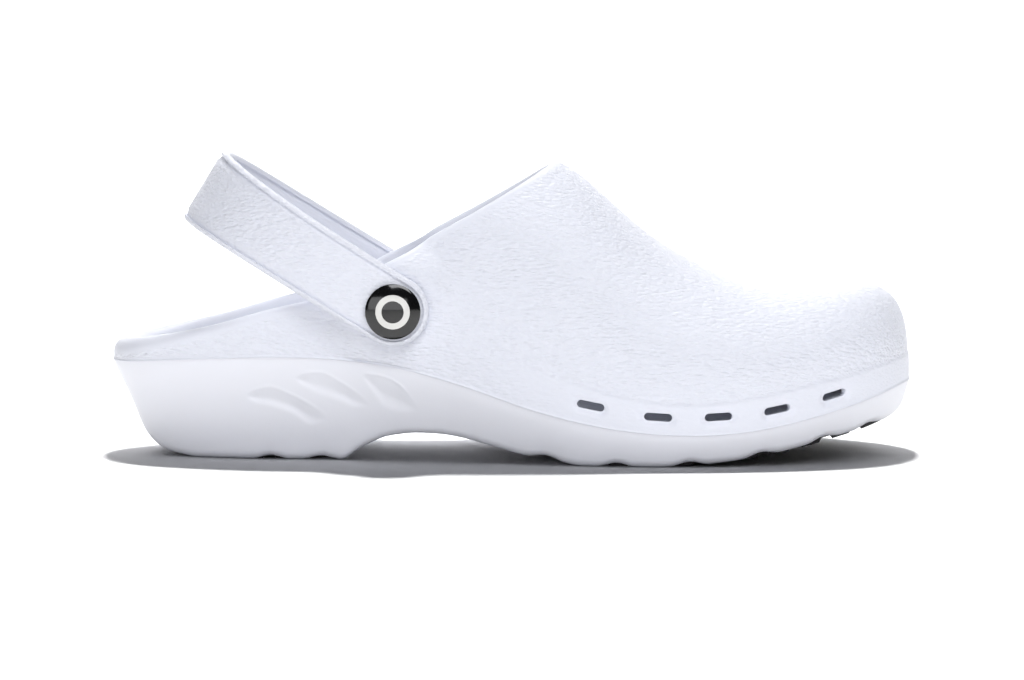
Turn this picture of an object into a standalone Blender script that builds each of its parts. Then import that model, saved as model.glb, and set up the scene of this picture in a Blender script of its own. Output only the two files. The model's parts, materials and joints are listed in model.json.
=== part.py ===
"""Moulded foam clog with a swivelling heel strap: one right shoe, standing unbent on its sole.

Metres. +X points to the toe, +Y to the inner side of the foot, +Z up. Every piece is worked out in
the frame of the last, with x = 0 at the back of the heel, and one empty then centres the whole clog.
"""
import math
from collections import namedtuple

import bmesh
import bpy
import numpy as np
from mathutils import Matrix, Vector

# Sizes of the last and the wall
LENGTH = 0.285
BALL_WIDTH = 0.101
INSTEP_HEIGHT = 0.1037
TOE_HEIGHT = 0.0595
SEAM_HEIGHT = 0.0366
SPINE_SHIFT = 0.002
LIP_WALL = 0.0105
LIP_HEIGHT = 0.0044
COLLAR_WALL = 0.0052
VAMP_WALL = 0.0032
TOE_WALL = 0.004
BAND_HEIGHT = 0.014
BAND_STEP = 0.0008
CREASE_WIDTH = 0.0016

# Sizes of the sole, the insole and the treads
ARCH_HEIGHT = 0.0099
TOE_SPRING = 0.0133
SOLE_INSET = 0.008
SCALLOP_DEPTH = 0.0013
SCALLOP_REACH = 0.014
FACET_DEPTH = 0.0007
INSOLE_THICKNESS = 0.004
INSOLE_CLEARANCE = 0.0012
TREAD_THICKNESS = 0.0026
TREAD_LUG_DEPTH = 0.0013
TREAD_LUG_LENGTH = 0.0075
TREAD_LUG_SPACE = 0.0035
TREAD_MARGIN = 0.0035
TREAD_PROUD = 0.0009
TREAD_RAMP = 0.0006
TREAD_FULL = 0.93
TREAD_ENDS = 5
TREAD_CORNERS = 0.4
PROUD_FIRST_SHARE, PROUD_LAST_SHARE = 0.72, 0.92

# Sizes of the vents, the strap and its rivets
SLOT_LENGTH = 0.0098
SLOT_HEIGHT = 0.0030
PIVOT_ALONG = 0.1017
PIVOT_HEIGHT = 0.0533
BOSS_OUTER = 0.7723 * BALL_WIDTH / 2
BOSS_INNER = 0.7129 * BALL_WIDTH / 2
BOSS_RADIUS = 0.013
BOSS_BLEND = 0.013
BOSS_WALL = 0.0055
STRAP_END_WIDTH = 0.0245
STRAP_BACK_WIDTH = 0.0286
STRAP_THICKNESS = 0.0035
STRAP_EDGE = 0.0010
STRAP_REACH = 0.081
STRAP_STRAIGHT = 0.010
STRAP_SQUARENESS = 2.05
STRAP_SLOPE = math.radians(31.6)
CAP_DIAMETER = 0.019
CAP_RIM = 0.0012
CAP_DOME = 0.0019
CAP_BEVEL = 0.0003
POST_DIAMETER = 0.005
BASE_DIAMETER = 0.016
BASE_THICKNESS = 0.002
BASE_BEVEL = 0.0006

# Clearance between pieces that lie against each other
GAP = 0.0003

# Sections of the last, heel to toe. along is a share of LENGTH, outer and inner are shares of half
# the ball width, seam is a share of SEAM_HEIGHT, crown is the rise from toe height (0) to instep
# height (1), power is the squareness of the section, band is a share of BAND_HEIGHT, step is a share
# of BAND_STEP and taper is a share of SOLE_INSET.
Section = namedtuple("Section", "along outer inner seam crown power band step taper")
SECTIONS = [
    Section(0.000, 0.000, 0.000, 0.896, 0.83, 2.20, 0.10, 0.0, 1.10),
    Section(0.020, 0.320, 0.320, 0.910, 0.85, 2.20, 0.11, 0.0, 1.10),
    Section(0.050, 0.468, 0.468, 0.935, 0.87, 2.20, 0.13, 0.0, 1.10),
    Section(0.090, 0.565, 0.565, 0.960, 0.90, 2.20, 0.18, 0.0, 1.08),
    Section(0.140, 0.632, 0.630, 0.981, 0.95, 2.20, 0.27, 0.0, 1.00),
    Section(0.200, 0.672, 0.668, 1.000, 1.01, 2.10, 0.39, 0.0, 0.94),
    Section(0.260, 0.686, 0.676, 0.997, 1.05, 2.00, 0.54, 0.0, 0.88),
    Section(0.310, 0.705, 0.668, 0.967, 1.09, 1.95, 0.64, 0.0, 0.81),
    Section(0.365, 0.740, 0.655, 0.902, 1.12, 1.90, 0.79, 0.0, 0.69),
    Section(0.414, 0.780, 0.658, 0.811, 1.13, 1.85, 0.89, 0.0, 0.62),
    Section(0.460, 0.828, 0.690, 0.702, 1.13, 1.80, 0.97, 0.3, 0.60),
    Section(0.520, 0.893, 0.765, 0.533, 1.09, 1.75, 1.00, 1.0, 0.54),
    Section(0.570, 0.950, 0.850, 0.437, 0.99, 1.70, 0.95, 1.0, 0.48),
    Section(0.630, 0.992, 0.932, 0.350, 0.62, 1.75, 0.80, 1.0, 0.42),
    Section(0.690, 1.010, 0.972, 0.309, 0.31, 1.90, 0.74, 1.0, 0.40),
    Section(0.740, 1.000, 0.980, 0.305, 0.14, 2.10, 0.75, 1.0, 0.40),
    Section(0.790, 0.958, 0.955, 0.341, 0.01, 2.35, 0.80, 1.0, 0.40),
    Section(0.840, 0.882, 0.888, 0.408, -0.02, 2.50, 0.82, 1.0, 0.39),
    Section(0.880, 0.795, 0.808, 0.482, -0.01, 2.75, 0.80, 0.9, 0.38),
    Section(0.925, 0.650, 0.676, 0.570, 0.01, 3.25, 0.75, 0.8, 0.36),
    Section(0.960, 0.476, 0.524, 0.648, 0.01, 3.30, 0.70, 0.6, 0.35),
    Section(0.985, 0.260, 0.334, 0.694, 0.01, 3.30, 0.67, 0.5, 0.34),
    Section(1.000, -0.040, 0.040, 0.710, 0.01, 3.30, 0.66, 0.5, 0.34),
]

# Topline of the collar, rise is a share of the height from the heel's lip to the instep
PEAK_SHARE = 0.562
Rise = namedtuple("Rise", "along rise")
TOPLINE = [
    Rise(0.000, 0.000), Rise(0.063, 0.040), Rise(0.130, 0.100), Rise(0.204, 0.195),
    Rise(0.260, 0.258), Rise(0.344, 0.448), Rise(0.380, 0.546), Rise(0.413, 0.634),
    Rise(0.463, 0.762), Rise(0.511, 0.892), Rise(0.551, 1.008), Rise(PEAK_SHARE, 1.037),
]

# Wall of the upper along its length
Wall = namedtuple("Wall", "along thickness")
WALLS = [
    Wall(0.00, LIP_WALL), Wall(0.02, LIP_WALL), Wall(0.08, 0.72 * LIP_WALL), Wall(0.20, COLLAR_WALL),
    Wall(PEAK_SHARE, COLLAR_WALL), Wall(0.66, VAMP_WALL), Wall(0.88, VAMP_WALL), Wall(1.00, TOE_WALL),
]

# Underside. rise is a share of SEAM_HEIGHT behind the heel, of ARCH_HEIGHT and of TOE_SPRING
HEEL_BACK = [
    Rise(0.000, 0.930), Rise(0.004, 0.860), Rise(0.026, 0.520), Rise(0.045, 0.190), Rise(0.070, 0.055),
    Rise(0.105, 0.000),
]
ARCH = [
    Rise(0.295, 0.00), Rise(0.302, 0.16), Rise(0.312, 0.38), Rise(0.326, 0.60), Rise(0.349, 0.87),
    Rise(0.386, 1.00), Rise(0.411, 0.98), Rise(0.435, 0.89), Rise(0.460, 0.72), Rise(0.484, 0.54),
    Rise(0.509, 0.35), Rise(0.545, 0.19), Rise(0.580, 0.00),
]
SPRING = [
    Rise(0.684, 0.00), Rise(0.744, 0.09), Rise(0.821, 0.33), Rise(0.898, 0.69), Rise(0.951, 0.92),
    Rise(0.979, 1.08), Rise(0.993, 1.25), Rise(1.000, 1.40),
]

# Side of the sole from seam (0) to lower edge (1), inset is a share of the taper
Profile = namedtuple("Profile", "drop inset")
SOLE_WALL = [
    Profile(0.00, 0.00), Profile(0.12, 0.08), Profile(0.50, 0.46), Profile(0.80, 0.77), Profile(0.95, 0.93),
]
SCALLOPS = [0.2014, 0.2649, 0.5386, 0.6246, 0.7140, 0.8035, 0.8842, 0.9474]

# Blade facets on each side of the heel, upper and lower are shares of SEAM_HEIGHT
Blade = namedtuple("Blade", "along upper lower")
BLADES = [
    [
        Blade(0.174, 0.625, 0.615), Blade(0.188, 0.680, 0.570), Blade(0.204, 0.706, 0.548),
        Blade(0.232, 0.628, 0.470), Blade(0.255, 0.530, 0.360), Blade(0.276, 0.415, 0.395),
    ],
    [
        Blade(0.234, 0.805, 0.795), Blade(0.250, 0.842, 0.720), Blade(0.266, 0.850, 0.665),
        Blade(0.290, 0.765, 0.600), Blade(0.310, 0.660, 0.535), Blade(0.328, 0.545, 0.525),
    ],
    [
        Blade(0.317, 0.845, 0.830), Blade(0.330, 0.835, 0.700), Blade(0.346, 0.811, 0.545),
        Blade(0.364, 0.735, 0.500), Blade(0.378, 0.610, 0.490), Blade(0.388, 0.500, 0.480),
    ],
]

# Vent slots of the outer side, rise is the height of their middle over the seam in slot heights
SLOTS = [
    Rise(0.594, 2.27), Rise(0.675, 2.02), Rise(0.748, 2.11), Rise(0.820, 1.97), Rise(0.892, 1.87),
]

# Columns of each piece round the outline: stretches from along to the next row, cut in equal steps
Stretch = namedtuple("Stretch", "along steps")
UPPER_STRETCHES = [
    Stretch(0.000, 7), Stretch(0.160, 4), Stretch(0.280, 8), Stretch(0.430, 3), Stretch(0.500, 4),
    Stretch(PEAK_SHARE, 7), Stretch(0.780, 9), Stretch(1.000, 0),
]
SOLE_STRETCHES = [Stretch(0.000, 9)] + [Stretch(along, 3) for along in SCALLOPS[:1]] + [
    Stretch(SCALLOPS[1], 2), Stretch(0.300, 3), Stretch(0.345, 2), Stretch(0.411, 4),
    Stretch(SCALLOPS[2], 4), Stretch(SCALLOPS[3], 4), Stretch(SCALLOPS[4], 4), Stretch(SCALLOPS[5], 4),
    Stretch(SCALLOPS[6], 4), Stretch(SCALLOPS[7], 6), Stretch(1.000, 0),
]
INSOLE_STRETCHES = [Stretch(0.000, 7), Stretch(0.200, 8), Stretch(0.750, 8), Stretch(1.000, 0)]
UPPER_ROWS = 8
RIM_STEPS = 4
SLOT_STEPS = 6
BORE_STEPS = 16
OUTLINE_TURN = 0.002
SLOT_TURN = 0.02

# Centre line that the columns lean to: straight across between the two fans
HEEL_FAN_SHARE, HEEL_SPINE_SHARE = 0.25, 0.09
TOE_FAN_SHARE, TOE_SPINE_SHARE = 0.75, 0.925
FAN_END_SLOPE = 0.3

FOAM = ("foam_white", (0.72, 0.76, 0.86, 1), 0.55)
SOLE_FOAM = ("sole_foam_white", (0.60, 0.62, 0.70, 1), 0.45)
RUBBER = ("tread_rubber", (0.03, 0.03, 0.035, 1), 0.7)
CAP_PLASTIC = ("cap_plastic", (0.01, 0.01, 0.012, 1), 0.15)


def monotone(xs, ys, x):
    """Smooth curve through rows of values that never swings past them: a cubic with limited slopes."""
    xs = np.asarray(xs, float)
    ys = np.asarray(ys, float)
    width = np.diff(xs)
    slope = np.diff(ys) / width
    same = slope[:-1] * slope[1:] > 0
    total = np.where(same, slope[:-1] + slope[1:], 1.0)
    inner = np.where(same, 2 * slope[:-1] * slope[1:] / total, 0.0)
    bend = np.concatenate([slope[:1], inner, slope[-1:]])
    k = np.clip(np.searchsorted(xs, x, side="right") - 1, 0, len(width) - 1)
    t = np.clip((x - xs[k]) / width[k], 0, 1)
    s = 1 - t
    ends = s * s * (1 + 2 * t) * ys[k] + t * t * (3 - 2 * t) * ys[k + 1]
    return ends + width[k] * (t * s * s * bend[k] - t * t * s * bend[k + 1])


def column(name, along):
    """Value of one named column of SECTIONS at a share of the length."""
    return monotone([row.along for row in SECTIONS], [getattr(row, name) for row in SECTIONS], along)


def along_rises(rows, along):
    """Value of a table of rises at a share of the length, flat beyond its ends."""
    return monotone([row.along for row in rows], [row.rise for row in rows], along)


def angle_of(along):
    """Angle round the last for a share of the length: 0 at the heel's back, pi at the toe's tip."""
    return np.arccos(np.clip(1 - 2 * np.asarray(along, float), -1, 1))


def share_of(angle):
    """Share of the length for an angle round the last."""
    return (1 - np.cos(angle)) / 2


def half_width(angle, side):
    """Distance of the seam's outline from the centre plane, on side -1 (outer) or +1 (inner)."""
    knots = angle_of([row.along for row in SECTIONS])
    outer = monotone(knots, [row.outer for row in SECTIONS], angle)
    inner = monotone(knots, [row.inner for row in SECTIONS], angle)
    return np.where(side < 0, outer, inner) * BALL_WIDTH / 2


def seam_height(x):
    """Height of the seam between sole and upper, which is the top of the sole."""
    return column("seam", x / LENGTH) * SEAM_HEIGHT


def sole_height(x):
    """Height of the sole's underside at the middle of its lobes."""
    along = x / LENGTH
    heel = along_rises(HEEL_BACK, along) * SEAM_HEIGHT
    arch = along_rises(ARCH, along) * ARCH_HEIGHT
    return heel + arch + along_rises(SPRING, along) * TOE_SPRING


def crown_height(x):
    """Height of the upper's ridge, carried on behind the collar to say how far the walls lean in."""
    return TOE_HEIGHT + column("crown", x / LENGTH) * (INSTEP_HEIGHT - TOE_HEIGHT)


def topline_height(x):
    """Height of the collar's edge, which starts from the heel's lip."""
    lip = SEAM_HEIGHT + LIP_HEIGHT
    return lip + along_rises(TOPLINE, x / LENGTH) * (INSTEP_HEIGHT - lip)


def wall_thickness(x):
    """Wall of the upper: thick at the heel's lip, thinner at the collar, thinnest over the vamp."""
    return monotone([row.along for row in WALLS], [row.thickness for row in WALLS], x / LENGTH)


def fan(angle, start, end_along):
    """Spine share for angles past a fan's start: leaves it straight and slows towards its end."""
    first, last = angle_of(start), (math.pi if end_along > start else 0.0)
    reach = end_along - start
    slope = math.sin(first) / 2 * (last - first) / reach
    t = np.clip((angle - first) / (last - first), 0, 1)
    rise = slope * t * (1 - t) ** 2 + t * t * (3 - 2 * t) - FAN_END_SLOPE * t * t * (1 - t)
    return start + reach * rise


def spine(angle):
    """Point of the centre line that the column at this angle leans to."""
    heel = fan(angle, HEEL_FAN_SHARE, HEEL_SPINE_SHARE)
    toe = fan(angle, TOE_FAN_SHARE, TOE_SPINE_SHARE)
    along = np.where(angle < angle_of(HEEL_FAN_SHARE), heel, share_of(angle))
    along = np.where(angle > angle_of(TOE_FAN_SHARE), toe, along)
    return along * LENGTH, along * SPINE_SHIFT


def outline(angle, side):
    """Point of the seam's outline seen from above."""
    return share_of(angle) * LENGTH, half_width(angle, side) * side


def inset_outline(angle, side, inset):
    """Outline moved inwards, square to itself, by a distance that may differ from place to place."""
    ahead = np.clip(angle + OUTLINE_TURN, 0, math.pi)
    behind = np.clip(angle - OUTLINE_TURN, 0, math.pi)
    x0, y0 = outline(angle, side)
    x1, y1 = outline(behind, side)
    x2, y2 = outline(ahead, side)
    dx, dy = (x2 - x1), (y2 - y1) * side
    at_end = (angle < OUTLINE_TURN) | (angle > math.pi - OUTLINE_TURN)
    dx = np.where(at_end, 0.0, dx)
    dy = np.where(at_end, np.where(angle < OUTLINE_TURN, 1.0, -1.0), dy)
    size = np.hypot(dx, dy)
    return x0 + inset * dy / size, y0 - inset * side * dx / size


def skin(angle, side, arc):
    """Outer surface of the upper. Each column is a quarter of a superellipse from the seam (arc 0)
    to the ridge (arc pi / 2), and above the crease it steps in."""
    x0, y0 = outline(angle, side)
    spine_x, spine_y = spine(angle)
    power = column("power", spine_x / LENGTH)
    out = np.cos(np.clip(arc, 0, math.pi / 2)) ** (2 / power)
    up = np.sin(np.clip(arc, 0, math.pi / 2)) ** (2 / power)
    base = seam_height(x0) + GAP
    z = base + (crown_height(spine_x) - base) * up
    crease = column("band", x0 / LENGTH) * BAND_HEIGHT
    above = np.clip((z - base - crease) / CREASE_WIDTH + 0.5, 0, 1)
    step = BAND_STEP * column("step", x0 / LENGTH) * above * above * (3 - 2 * above)
    out = out * (1 - step / np.hypot(x0 - spine_x, y0 - spine_y))
    x = spine_x + (x0 - spine_x) * out
    y = spine_y + (y0 - spine_y) * out
    return np.stack(np.broadcast_arrays(x, y, z), -1)


def arc_at(angle, height):
    """Arc at which the column at this angle is a given height over the seam."""
    x0 = share_of(angle) * LENGTH
    spine_x = spine(angle)[0]
    base = seam_height(x0) + GAP
    up = np.clip(height / (crown_height(spine_x) - base), 0, 1)
    return np.arcsin(up ** (column("power", spine_x / LENGTH) / 2))


def boss(points, side, face):
    """Flattens both sides of the wall round the strap's pivot to a plane at the given distance."""
    away = np.hypot(points[..., 0] - PIVOT_ALONG, points[..., 2] - PIVOT_HEIGHT)
    t = np.clip(1 - (away - BOSS_RADIUS) / BOSS_BLEND, 0, 1)
    weight = t * t * (3 - 2 * t)
    points[..., 1] = points[..., 1] * (1 - weight) + side * face * weight


def ring(stretches):
    """Angles and sides of the columns: heel to toe along the outer side, back along the inner one."""
    halves = []
    for row, following in zip(stretches, stretches[1:]):
        halves.append(np.linspace(angle_of(row.along), angle_of(following.along), row.steps + 1)[:-1])
    half = np.concatenate(halves + [np.array([math.pi])])
    angle = np.concatenate([half, half[-2:0:-1]])
    side = np.where(np.arange(len(angle)) < len(half), -1.0, 1.0)
    return angle[:, None], side[:, None]


def mirror_rows(index, row, first=0):
    """Lets each column of the inner side share its point in one row with its outer partner."""
    count = len(index)
    for i in range(max(first, 1), count // 2):
        index[count - i, row] = index[i, row]


def strips(index, closed=True):
    """Quads between neighbouring columns of an index grid."""
    following = np.roll(index, -1, axis=0) if closed else index[1:]
    current = index if closed else index[:-1]
    quads = np.stack([current[:, :-1], following[:, :-1], following[:, 1:], current[:, 1:]], -1)
    return quads.reshape(-1, 4)


def material(recipe):
    """Principled material, made once for each name."""
    name, colour, roughness = recipe
    found = bpy.data.materials.get(name)
    if found:
        return found
    made = bpy.data.materials.new(name)
    made.use_nodes = True
    shader = made.node_tree.nodes["Principled BSDF"]
    shader.inputs["Base Color"].default_value = colour
    shader.inputs["Roughness"].default_value = roughness
    shader.inputs["Metallic"].default_value = 0
    return made


def add_object(name, bm, recipe=None):
    """Object from a bmesh: closed, facing out and shaded smooth; without a recipe it is a cutter."""
    bmesh.ops.recalc_face_normals(bm, faces=bm.faces)
    mesh = bpy.data.meshes.new(name)
    bm.to_mesh(mesh)
    bm.free()
    made = bpy.data.objects.new(name, mesh)
    bpy.context.scene.collection.objects.link(made)
    made.parent = bpy.data.objects["clog_centre"]
    if recipe is None:
        made.hide_render = True
        made.display_type = "WIRE"
        return made
    mesh.materials.append(material(recipe))
    mesh.shade_smooth()
    mesh.set_sharp_from_angle(angle=math.radians(50))
    return made


def add_grid(name, points, faces, recipe=None):
    """Object from points and quads, where points that no face uses and doubled corners are dropped."""
    bm = bmesh.new()
    used = np.unique(faces)
    corners = {}
    for k in used:
        corners[int(k)] = bm.verts.new(points[k])
    for quad in faces:
        loop = []
        for k in quad:
            corner = corners[int(k)]
            if corner not in loop:
                loop.append(corner)
        if len(loop) > 2:
            bm.faces.new(loop)
    return add_object(name, bm, recipe)


def stack_rows(rows):
    """Grid of points, column by column, from rows of x, y and z values."""
    axes = [np.concatenate([row[k] for row in rows], axis=1) for k in range(3)]
    return np.stack(axes, -1)


def add_ring_body(name, columns, recipe):
    """Closed body from a grid whose first and last rows lie on the spine."""
    index = np.arange(columns.shape[0] * columns.shape[1]).reshape(columns.shape[:2])
    mirror_rows(index, 0)
    mirror_rows(index, -1)
    return add_grid(name, columns.reshape(-1, 3), strips(index), recipe)


def cut(target, cutter):
    """Exact Boolean difference, left as a modifier."""
    modifier = target.modifiers.new("cut_" + cutter.name, "BOOLEAN")
    modifier.operation = "DIFFERENCE"
    modifier.solver = "EXACT"
    modifier.object = cutter


def add_turned(name, profile, centre, side, recipe=None, steps=24):
    """Body turned about an axis along Y. profile holds (radius, distance outwards) pairs."""
    bm = bmesh.new()
    points = [bm.verts.new((radius, 0, depth)) for radius, depth in profile]
    edges = [bm.edges.new(pair) for pair in zip(points, points[1:])]
    if profile[0][0] > 0:
        edges.append(bm.edges.new((points[-1], points[0])))
    bmesh.ops.spin(bm, geom=points + edges, axis=(0, 0, 1), angle=2 * math.pi, steps=steps)
    bmesh.ops.remove_doubles(bm, verts=bm.verts, dist=1e-6)
    turn = Matrix.Rotation(-side * math.pi / 2, 4, "X")
    bmesh.ops.transform(bm, matrix=Matrix.Translation(centre) @ turn, verts=bm.verts)
    return add_object(name, bm, recipe)


def upper_grid():
    """Outer and inner skin of the upper, the index grid that both share, and the peak's column."""
    angle, side = ring(UPPER_STRETCHES)
    peak = sum(row.steps for row in UPPER_STRETCHES if row.along < PEAK_SHARE)
    x0 = share_of(angle) * LENGTH
    rim = wall_thickness(x0) / 2
    topline = topline_height(x0)
    is_open = np.arange(len(angle))[:, None]
    is_open = (is_open < peak) | (is_open > len(angle) - peak)
    end_height = np.where(is_open, topline - rim - seam_height(x0) - GAP, 1.0)
    end = np.where(is_open, arc_at(angle, end_height), math.pi / 2)
    crease = column("band", x0 / LENGTH) * BAND_HEIGHT
    half = CREASE_WIDTH / 2
    low = [0 * crease, crease / 2, crease - half, crease + half]
    low_arcs = [arc_at(angle, height) for height in low]
    steps = np.linspace(0, 1, UPPER_ROWS)[1:]
    high_arcs = low_arcs[-1] + (end - low_arcs[-1]) * steps
    arcs = np.concatenate(low_arcs + [high_arcs], axis=1)
    outer = skin(angle, side, arcs)
    index = np.arange(arcs.size).reshape(arcs.shape)
    mirror_rows(index, -1, peak)
    normal = corner_normals(outer.reshape(-1, 3), strips(index)).reshape(outer.shape)
    for i in range(peak, len(angle) // 2):
        normal[len(angle) - i, -1] = normal[i, -1]
    wall = wall_thickness(outer[..., 0])
    inner = outer - normal * wall[..., None]
    base_x, base_y = inset_outline(angle, side, wall_thickness(x0))
    inner[:, 0, 0] = base_x[:, 0]
    inner[:, 0, 1] = base_y[:, 0]
    inner[:, 0, 2] = seam_height(base_x[:, 0]) + GAP
    inner[:, 1, 2] = np.maximum(inner[:, 1, 2], inner[:, 0, 2] + (crease / 4)[:, 0])
    for grid, depth in ((outer, 0.0), (inner, BOSS_WALL)):
        face = np.where(side < 0, BOSS_OUTER, BOSS_INNER) - depth
        boss(grid[:, 1:], side, face)
    return outer, inner, index, peak


def corner_normals(points, faces):
    """Unit normals at the corners of a grid of quads, the mean of the faces round each corner."""
    diagonal_a = points[faces[:, 2]] - points[faces[:, 0]]
    diagonal_b = points[faces[:, 3]] - points[faces[:, 1]]
    flat = np.cross(diagonal_a, diagonal_b)
    total = np.zeros_like(points)
    for corner in range(4):
        np.add.at(total, faces[:, corner], flat)
    size = np.linalg.norm(total, axis=1, keepdims=True)
    return total / np.maximum(size, 1e-12)


def build_upper():
    """Upper: outer skin, inner skin, a half-round rim along the collar and a flat foot on the sole."""
    outer, inner, index, peak = upper_grid()
    count = index.size
    columns = len(index)
    inner_index = index + count
    collar = [i for i in range(columns) if i <= peak or i > columns - peak]
    outside = outer[collar, -1]
    inside = inner[collar, -1]
    tangent = np.roll(outside, -1, axis=0) - np.roll(outside, 1, axis=0)
    tangent /= np.linalg.norm(tangent, axis=1, keepdims=True)
    across = (outside - inside) / 2
    upward = np.cross(across, tangent)
    upward *= np.sign(upward[:, 2:3])
    upward *= np.linalg.norm(across, axis=1, keepdims=True) / np.linalg.norm(upward, axis=1, keepdims=True)
    turns = [math.pi * k / RIM_STEPS for k in range(1, RIM_STEPS)]
    middle = (outside + inside) / 2
    rim = np.stack([middle + across * math.cos(a) + upward * math.sin(a) for a in turns], axis=1)
    rim_index = 2 * count + np.arange(rim.shape[0] * rim.shape[1]).reshape(rim.shape[:2])
    collar_index = np.concatenate(
        [index[collar, -1:], rim_index, inner_index[collar, -1:]], axis=1)
    foot_index = np.concatenate([index[:, :1], inner_index[:, :1]], axis=1)
    faces = np.concatenate([strips(index), strips(inner_index), strips(collar_index), strips(foot_index)])
    points = np.concatenate([outer.reshape(-1, 3), inner.reshape(-1, 3), rim.reshape(-1, 3)])
    upper = add_grid("upper", points, faces, FOAM)
    for number, row in enumerate(SLOTS, start=1):
        cut(upper, slot_cutter(f"slot_cutter_{number}", row))
    return upper


def slot_cutter(name, row):
    """Stadium-shaped prism that runs square through the wall at one vent slot."""
    angle, side = angle_of(row.along), -1.0
    height = row.rise * SLOT_HEIGHT
    centre, behind, ahead, higher = (
        Vector(skin(a, side, arc_at(a, h)))
        for a, h in ((angle, height), (angle - SLOT_TURN, height), (angle + SLOT_TURN, height),
                     (angle, height + SLOT_HEIGHT / 4)))
    forward = (ahead - behind).normalized()
    outward = forward.cross(higher - centre).normalized()
    upward = outward.cross(forward)
    radius = SLOT_HEIGHT / 2
    straight = SLOT_LENGTH / 2 - radius
    bm = bmesh.new()
    loops = []
    for depth in (-3 * VAMP_WALL, 2 * VAMP_WALL):
        loop = []
        for k in range(2 * SLOT_STEPS):
            turned = math.pi * ((k + 0.5) / SLOT_STEPS - 0.5)
            shift = straight if k < SLOT_STEPS else -straight
            place = forward * (shift + radius * math.cos(turned)) + upward * (radius * math.sin(turned))
            loop.append(bm.verts.new(centre + place + outward * depth))
        loops.append(loop)
        bm.faces.new(loop)
    for k in range(2 * SLOT_STEPS):
        following = (k + 1) % (2 * SLOT_STEPS)
        bm.faces.new((loops[0][k], loops[0][following], loops[1][following], loops[1][k]))
    return add_object(name, bm)


def scallop(x):
    """Share of the scallop's depth at a place along the sole: 1 in a groove, 0 on a lobe."""
    share = np.zeros_like(x)
    for along in SCALLOPS:
        near = np.clip(1 - np.abs(x - along * LENGTH) / (SCALLOP_REACH / 2), 0, 1)
        share = np.maximum(share, near)
    return share


def build_sole():
    """Sole: top under the upper, tapered wall, scalloped lower edge and arched underside."""
    angle, side = ring(SOLE_STRETCHES)
    x0 = share_of(angle) * LENGTH
    spine_x, spine_y = spine(angle)
    taper = column("taper", x0 / LENGTH) * SOLE_INSET
    rows = []
    for share in (1.0, 0.5):
        edge_x, edge_y = outline(angle, side)
        x = edge_x + (spine_x - edge_x) * share
        y = edge_y + (spine_y - edge_y) * share
        rows.append((x, y, seam_height(x)))
    low_x, low_y = inset_outline(angle, side, taper)
    groove = scallop(x0)
    low_z = sole_height(low_x)
    for wall in SOLE_WALL:
        x, y = inset_outline(angle, side, taper * wall.inset)
        top = seam_height(x0)
        z = top + (low_z - top) * wall.drop + groove * SCALLOP_DEPTH * wall.drop ** 4
        rows.append((x, y, z))
    for share, depth in ((0.0, 1.0), (0.14, 0.5), (0.42, 0.0), (1.0, 0.0)):
        x = low_x + (spine_x - low_x) * share
        y = low_y + (spine_y - low_y) * share
        rows.append((x, y, sole_height(x) + groove * SCALLOP_DEPTH * depth))
    sole = add_ring_body("sole", stack_rows(rows), SOLE_FOAM)
    for number, rows_of_blade in enumerate(BLADES, start=1):
        for side_name, facing in (("outer", -1.0), ("inner", 1.0)):
            cut(sole, blade_cutter(f"blade_cutter_{side_name}_{number}", rows_of_blade, facing))
    return sole


def wall_side(x, z, side):
    """Distance of the sole's wall from the centre plane at a place on the side of the heel."""
    along = x / LENGTH
    top, low = seam_height(x), sole_height(x)
    drop = np.clip((top - z) / (top - low), 0, 1)
    drops = [wall.drop for wall in SOLE_WALL] + [1.0]
    insets = [wall.inset for wall in SOLE_WALL] + [1.0]
    inset = np.interp(drop, drops, insets)
    return half_width(angle_of(along), side) - inset * column("taper", along) * SOLE_INSET


def blade_cutter(name, rows, side):
    """Thin curved wedge that sinks one blade facet into the side of the heel."""
    x = np.array([row.along for row in rows]) * LENGTH
    upper = np.array([row.upper for row in rows]) * SEAM_HEIGHT
    lower = np.array([row.lower for row in rows]) * SEAM_HEIGHT
    loops = []
    clear = -4 * FACET_DEPTH
    for z, depth in ((upper, FACET_DEPTH), (lower, FACET_DEPTH), (lower, clear), (upper, clear)):
        loops.append(np.stack([x, side * (wall_side(x, z, side) - depth), z], -1))
    columns = np.stack(loops + loops[:1], axis=1)
    index = np.arange(len(x) * 4).reshape(-1, 4)
    index = np.concatenate([index, index[:, :1]], axis=1)
    ends = np.stack([index[0, :4], index[-1, :4]])
    faces = np.concatenate([strips(index, closed=False), ends])
    return add_grid(name, columns[:, :4].reshape(-1, 3), faces)


def build_insole():
    """Footbed on the sole's top, with the outline of the upper's inside less a clearance."""
    angle, side = ring(INSOLE_STRETCHES)
    x0 = share_of(angle) * LENGTH
    spine_x, spine_y = spine(angle)
    rows = []
    for share, level in ((1.0, 1), (0.5, 1), (0.03, 1), (0.0, 0.8), (0.0, 0), (0.5, 0), (1.0, 0)):
        x, y = inset_outline(angle, side, wall_thickness(x0) + INSOLE_CLEARANCE)
        x = x + (spine_x - x) * share
        y = y + (spine_y - y) * share
        rows.append((x, y, seam_height(x) + GAP + INSOLE_THICKNESS * level))
    return add_ring_body("insole", stack_rows(rows), FOAM)


Tread = namedtuple("Tread", "name first last")
TREADS = [Tread("heel_tread", 0.075, 0.285), Tread("forefoot_tread", 0.530, 0.962)]


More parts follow.
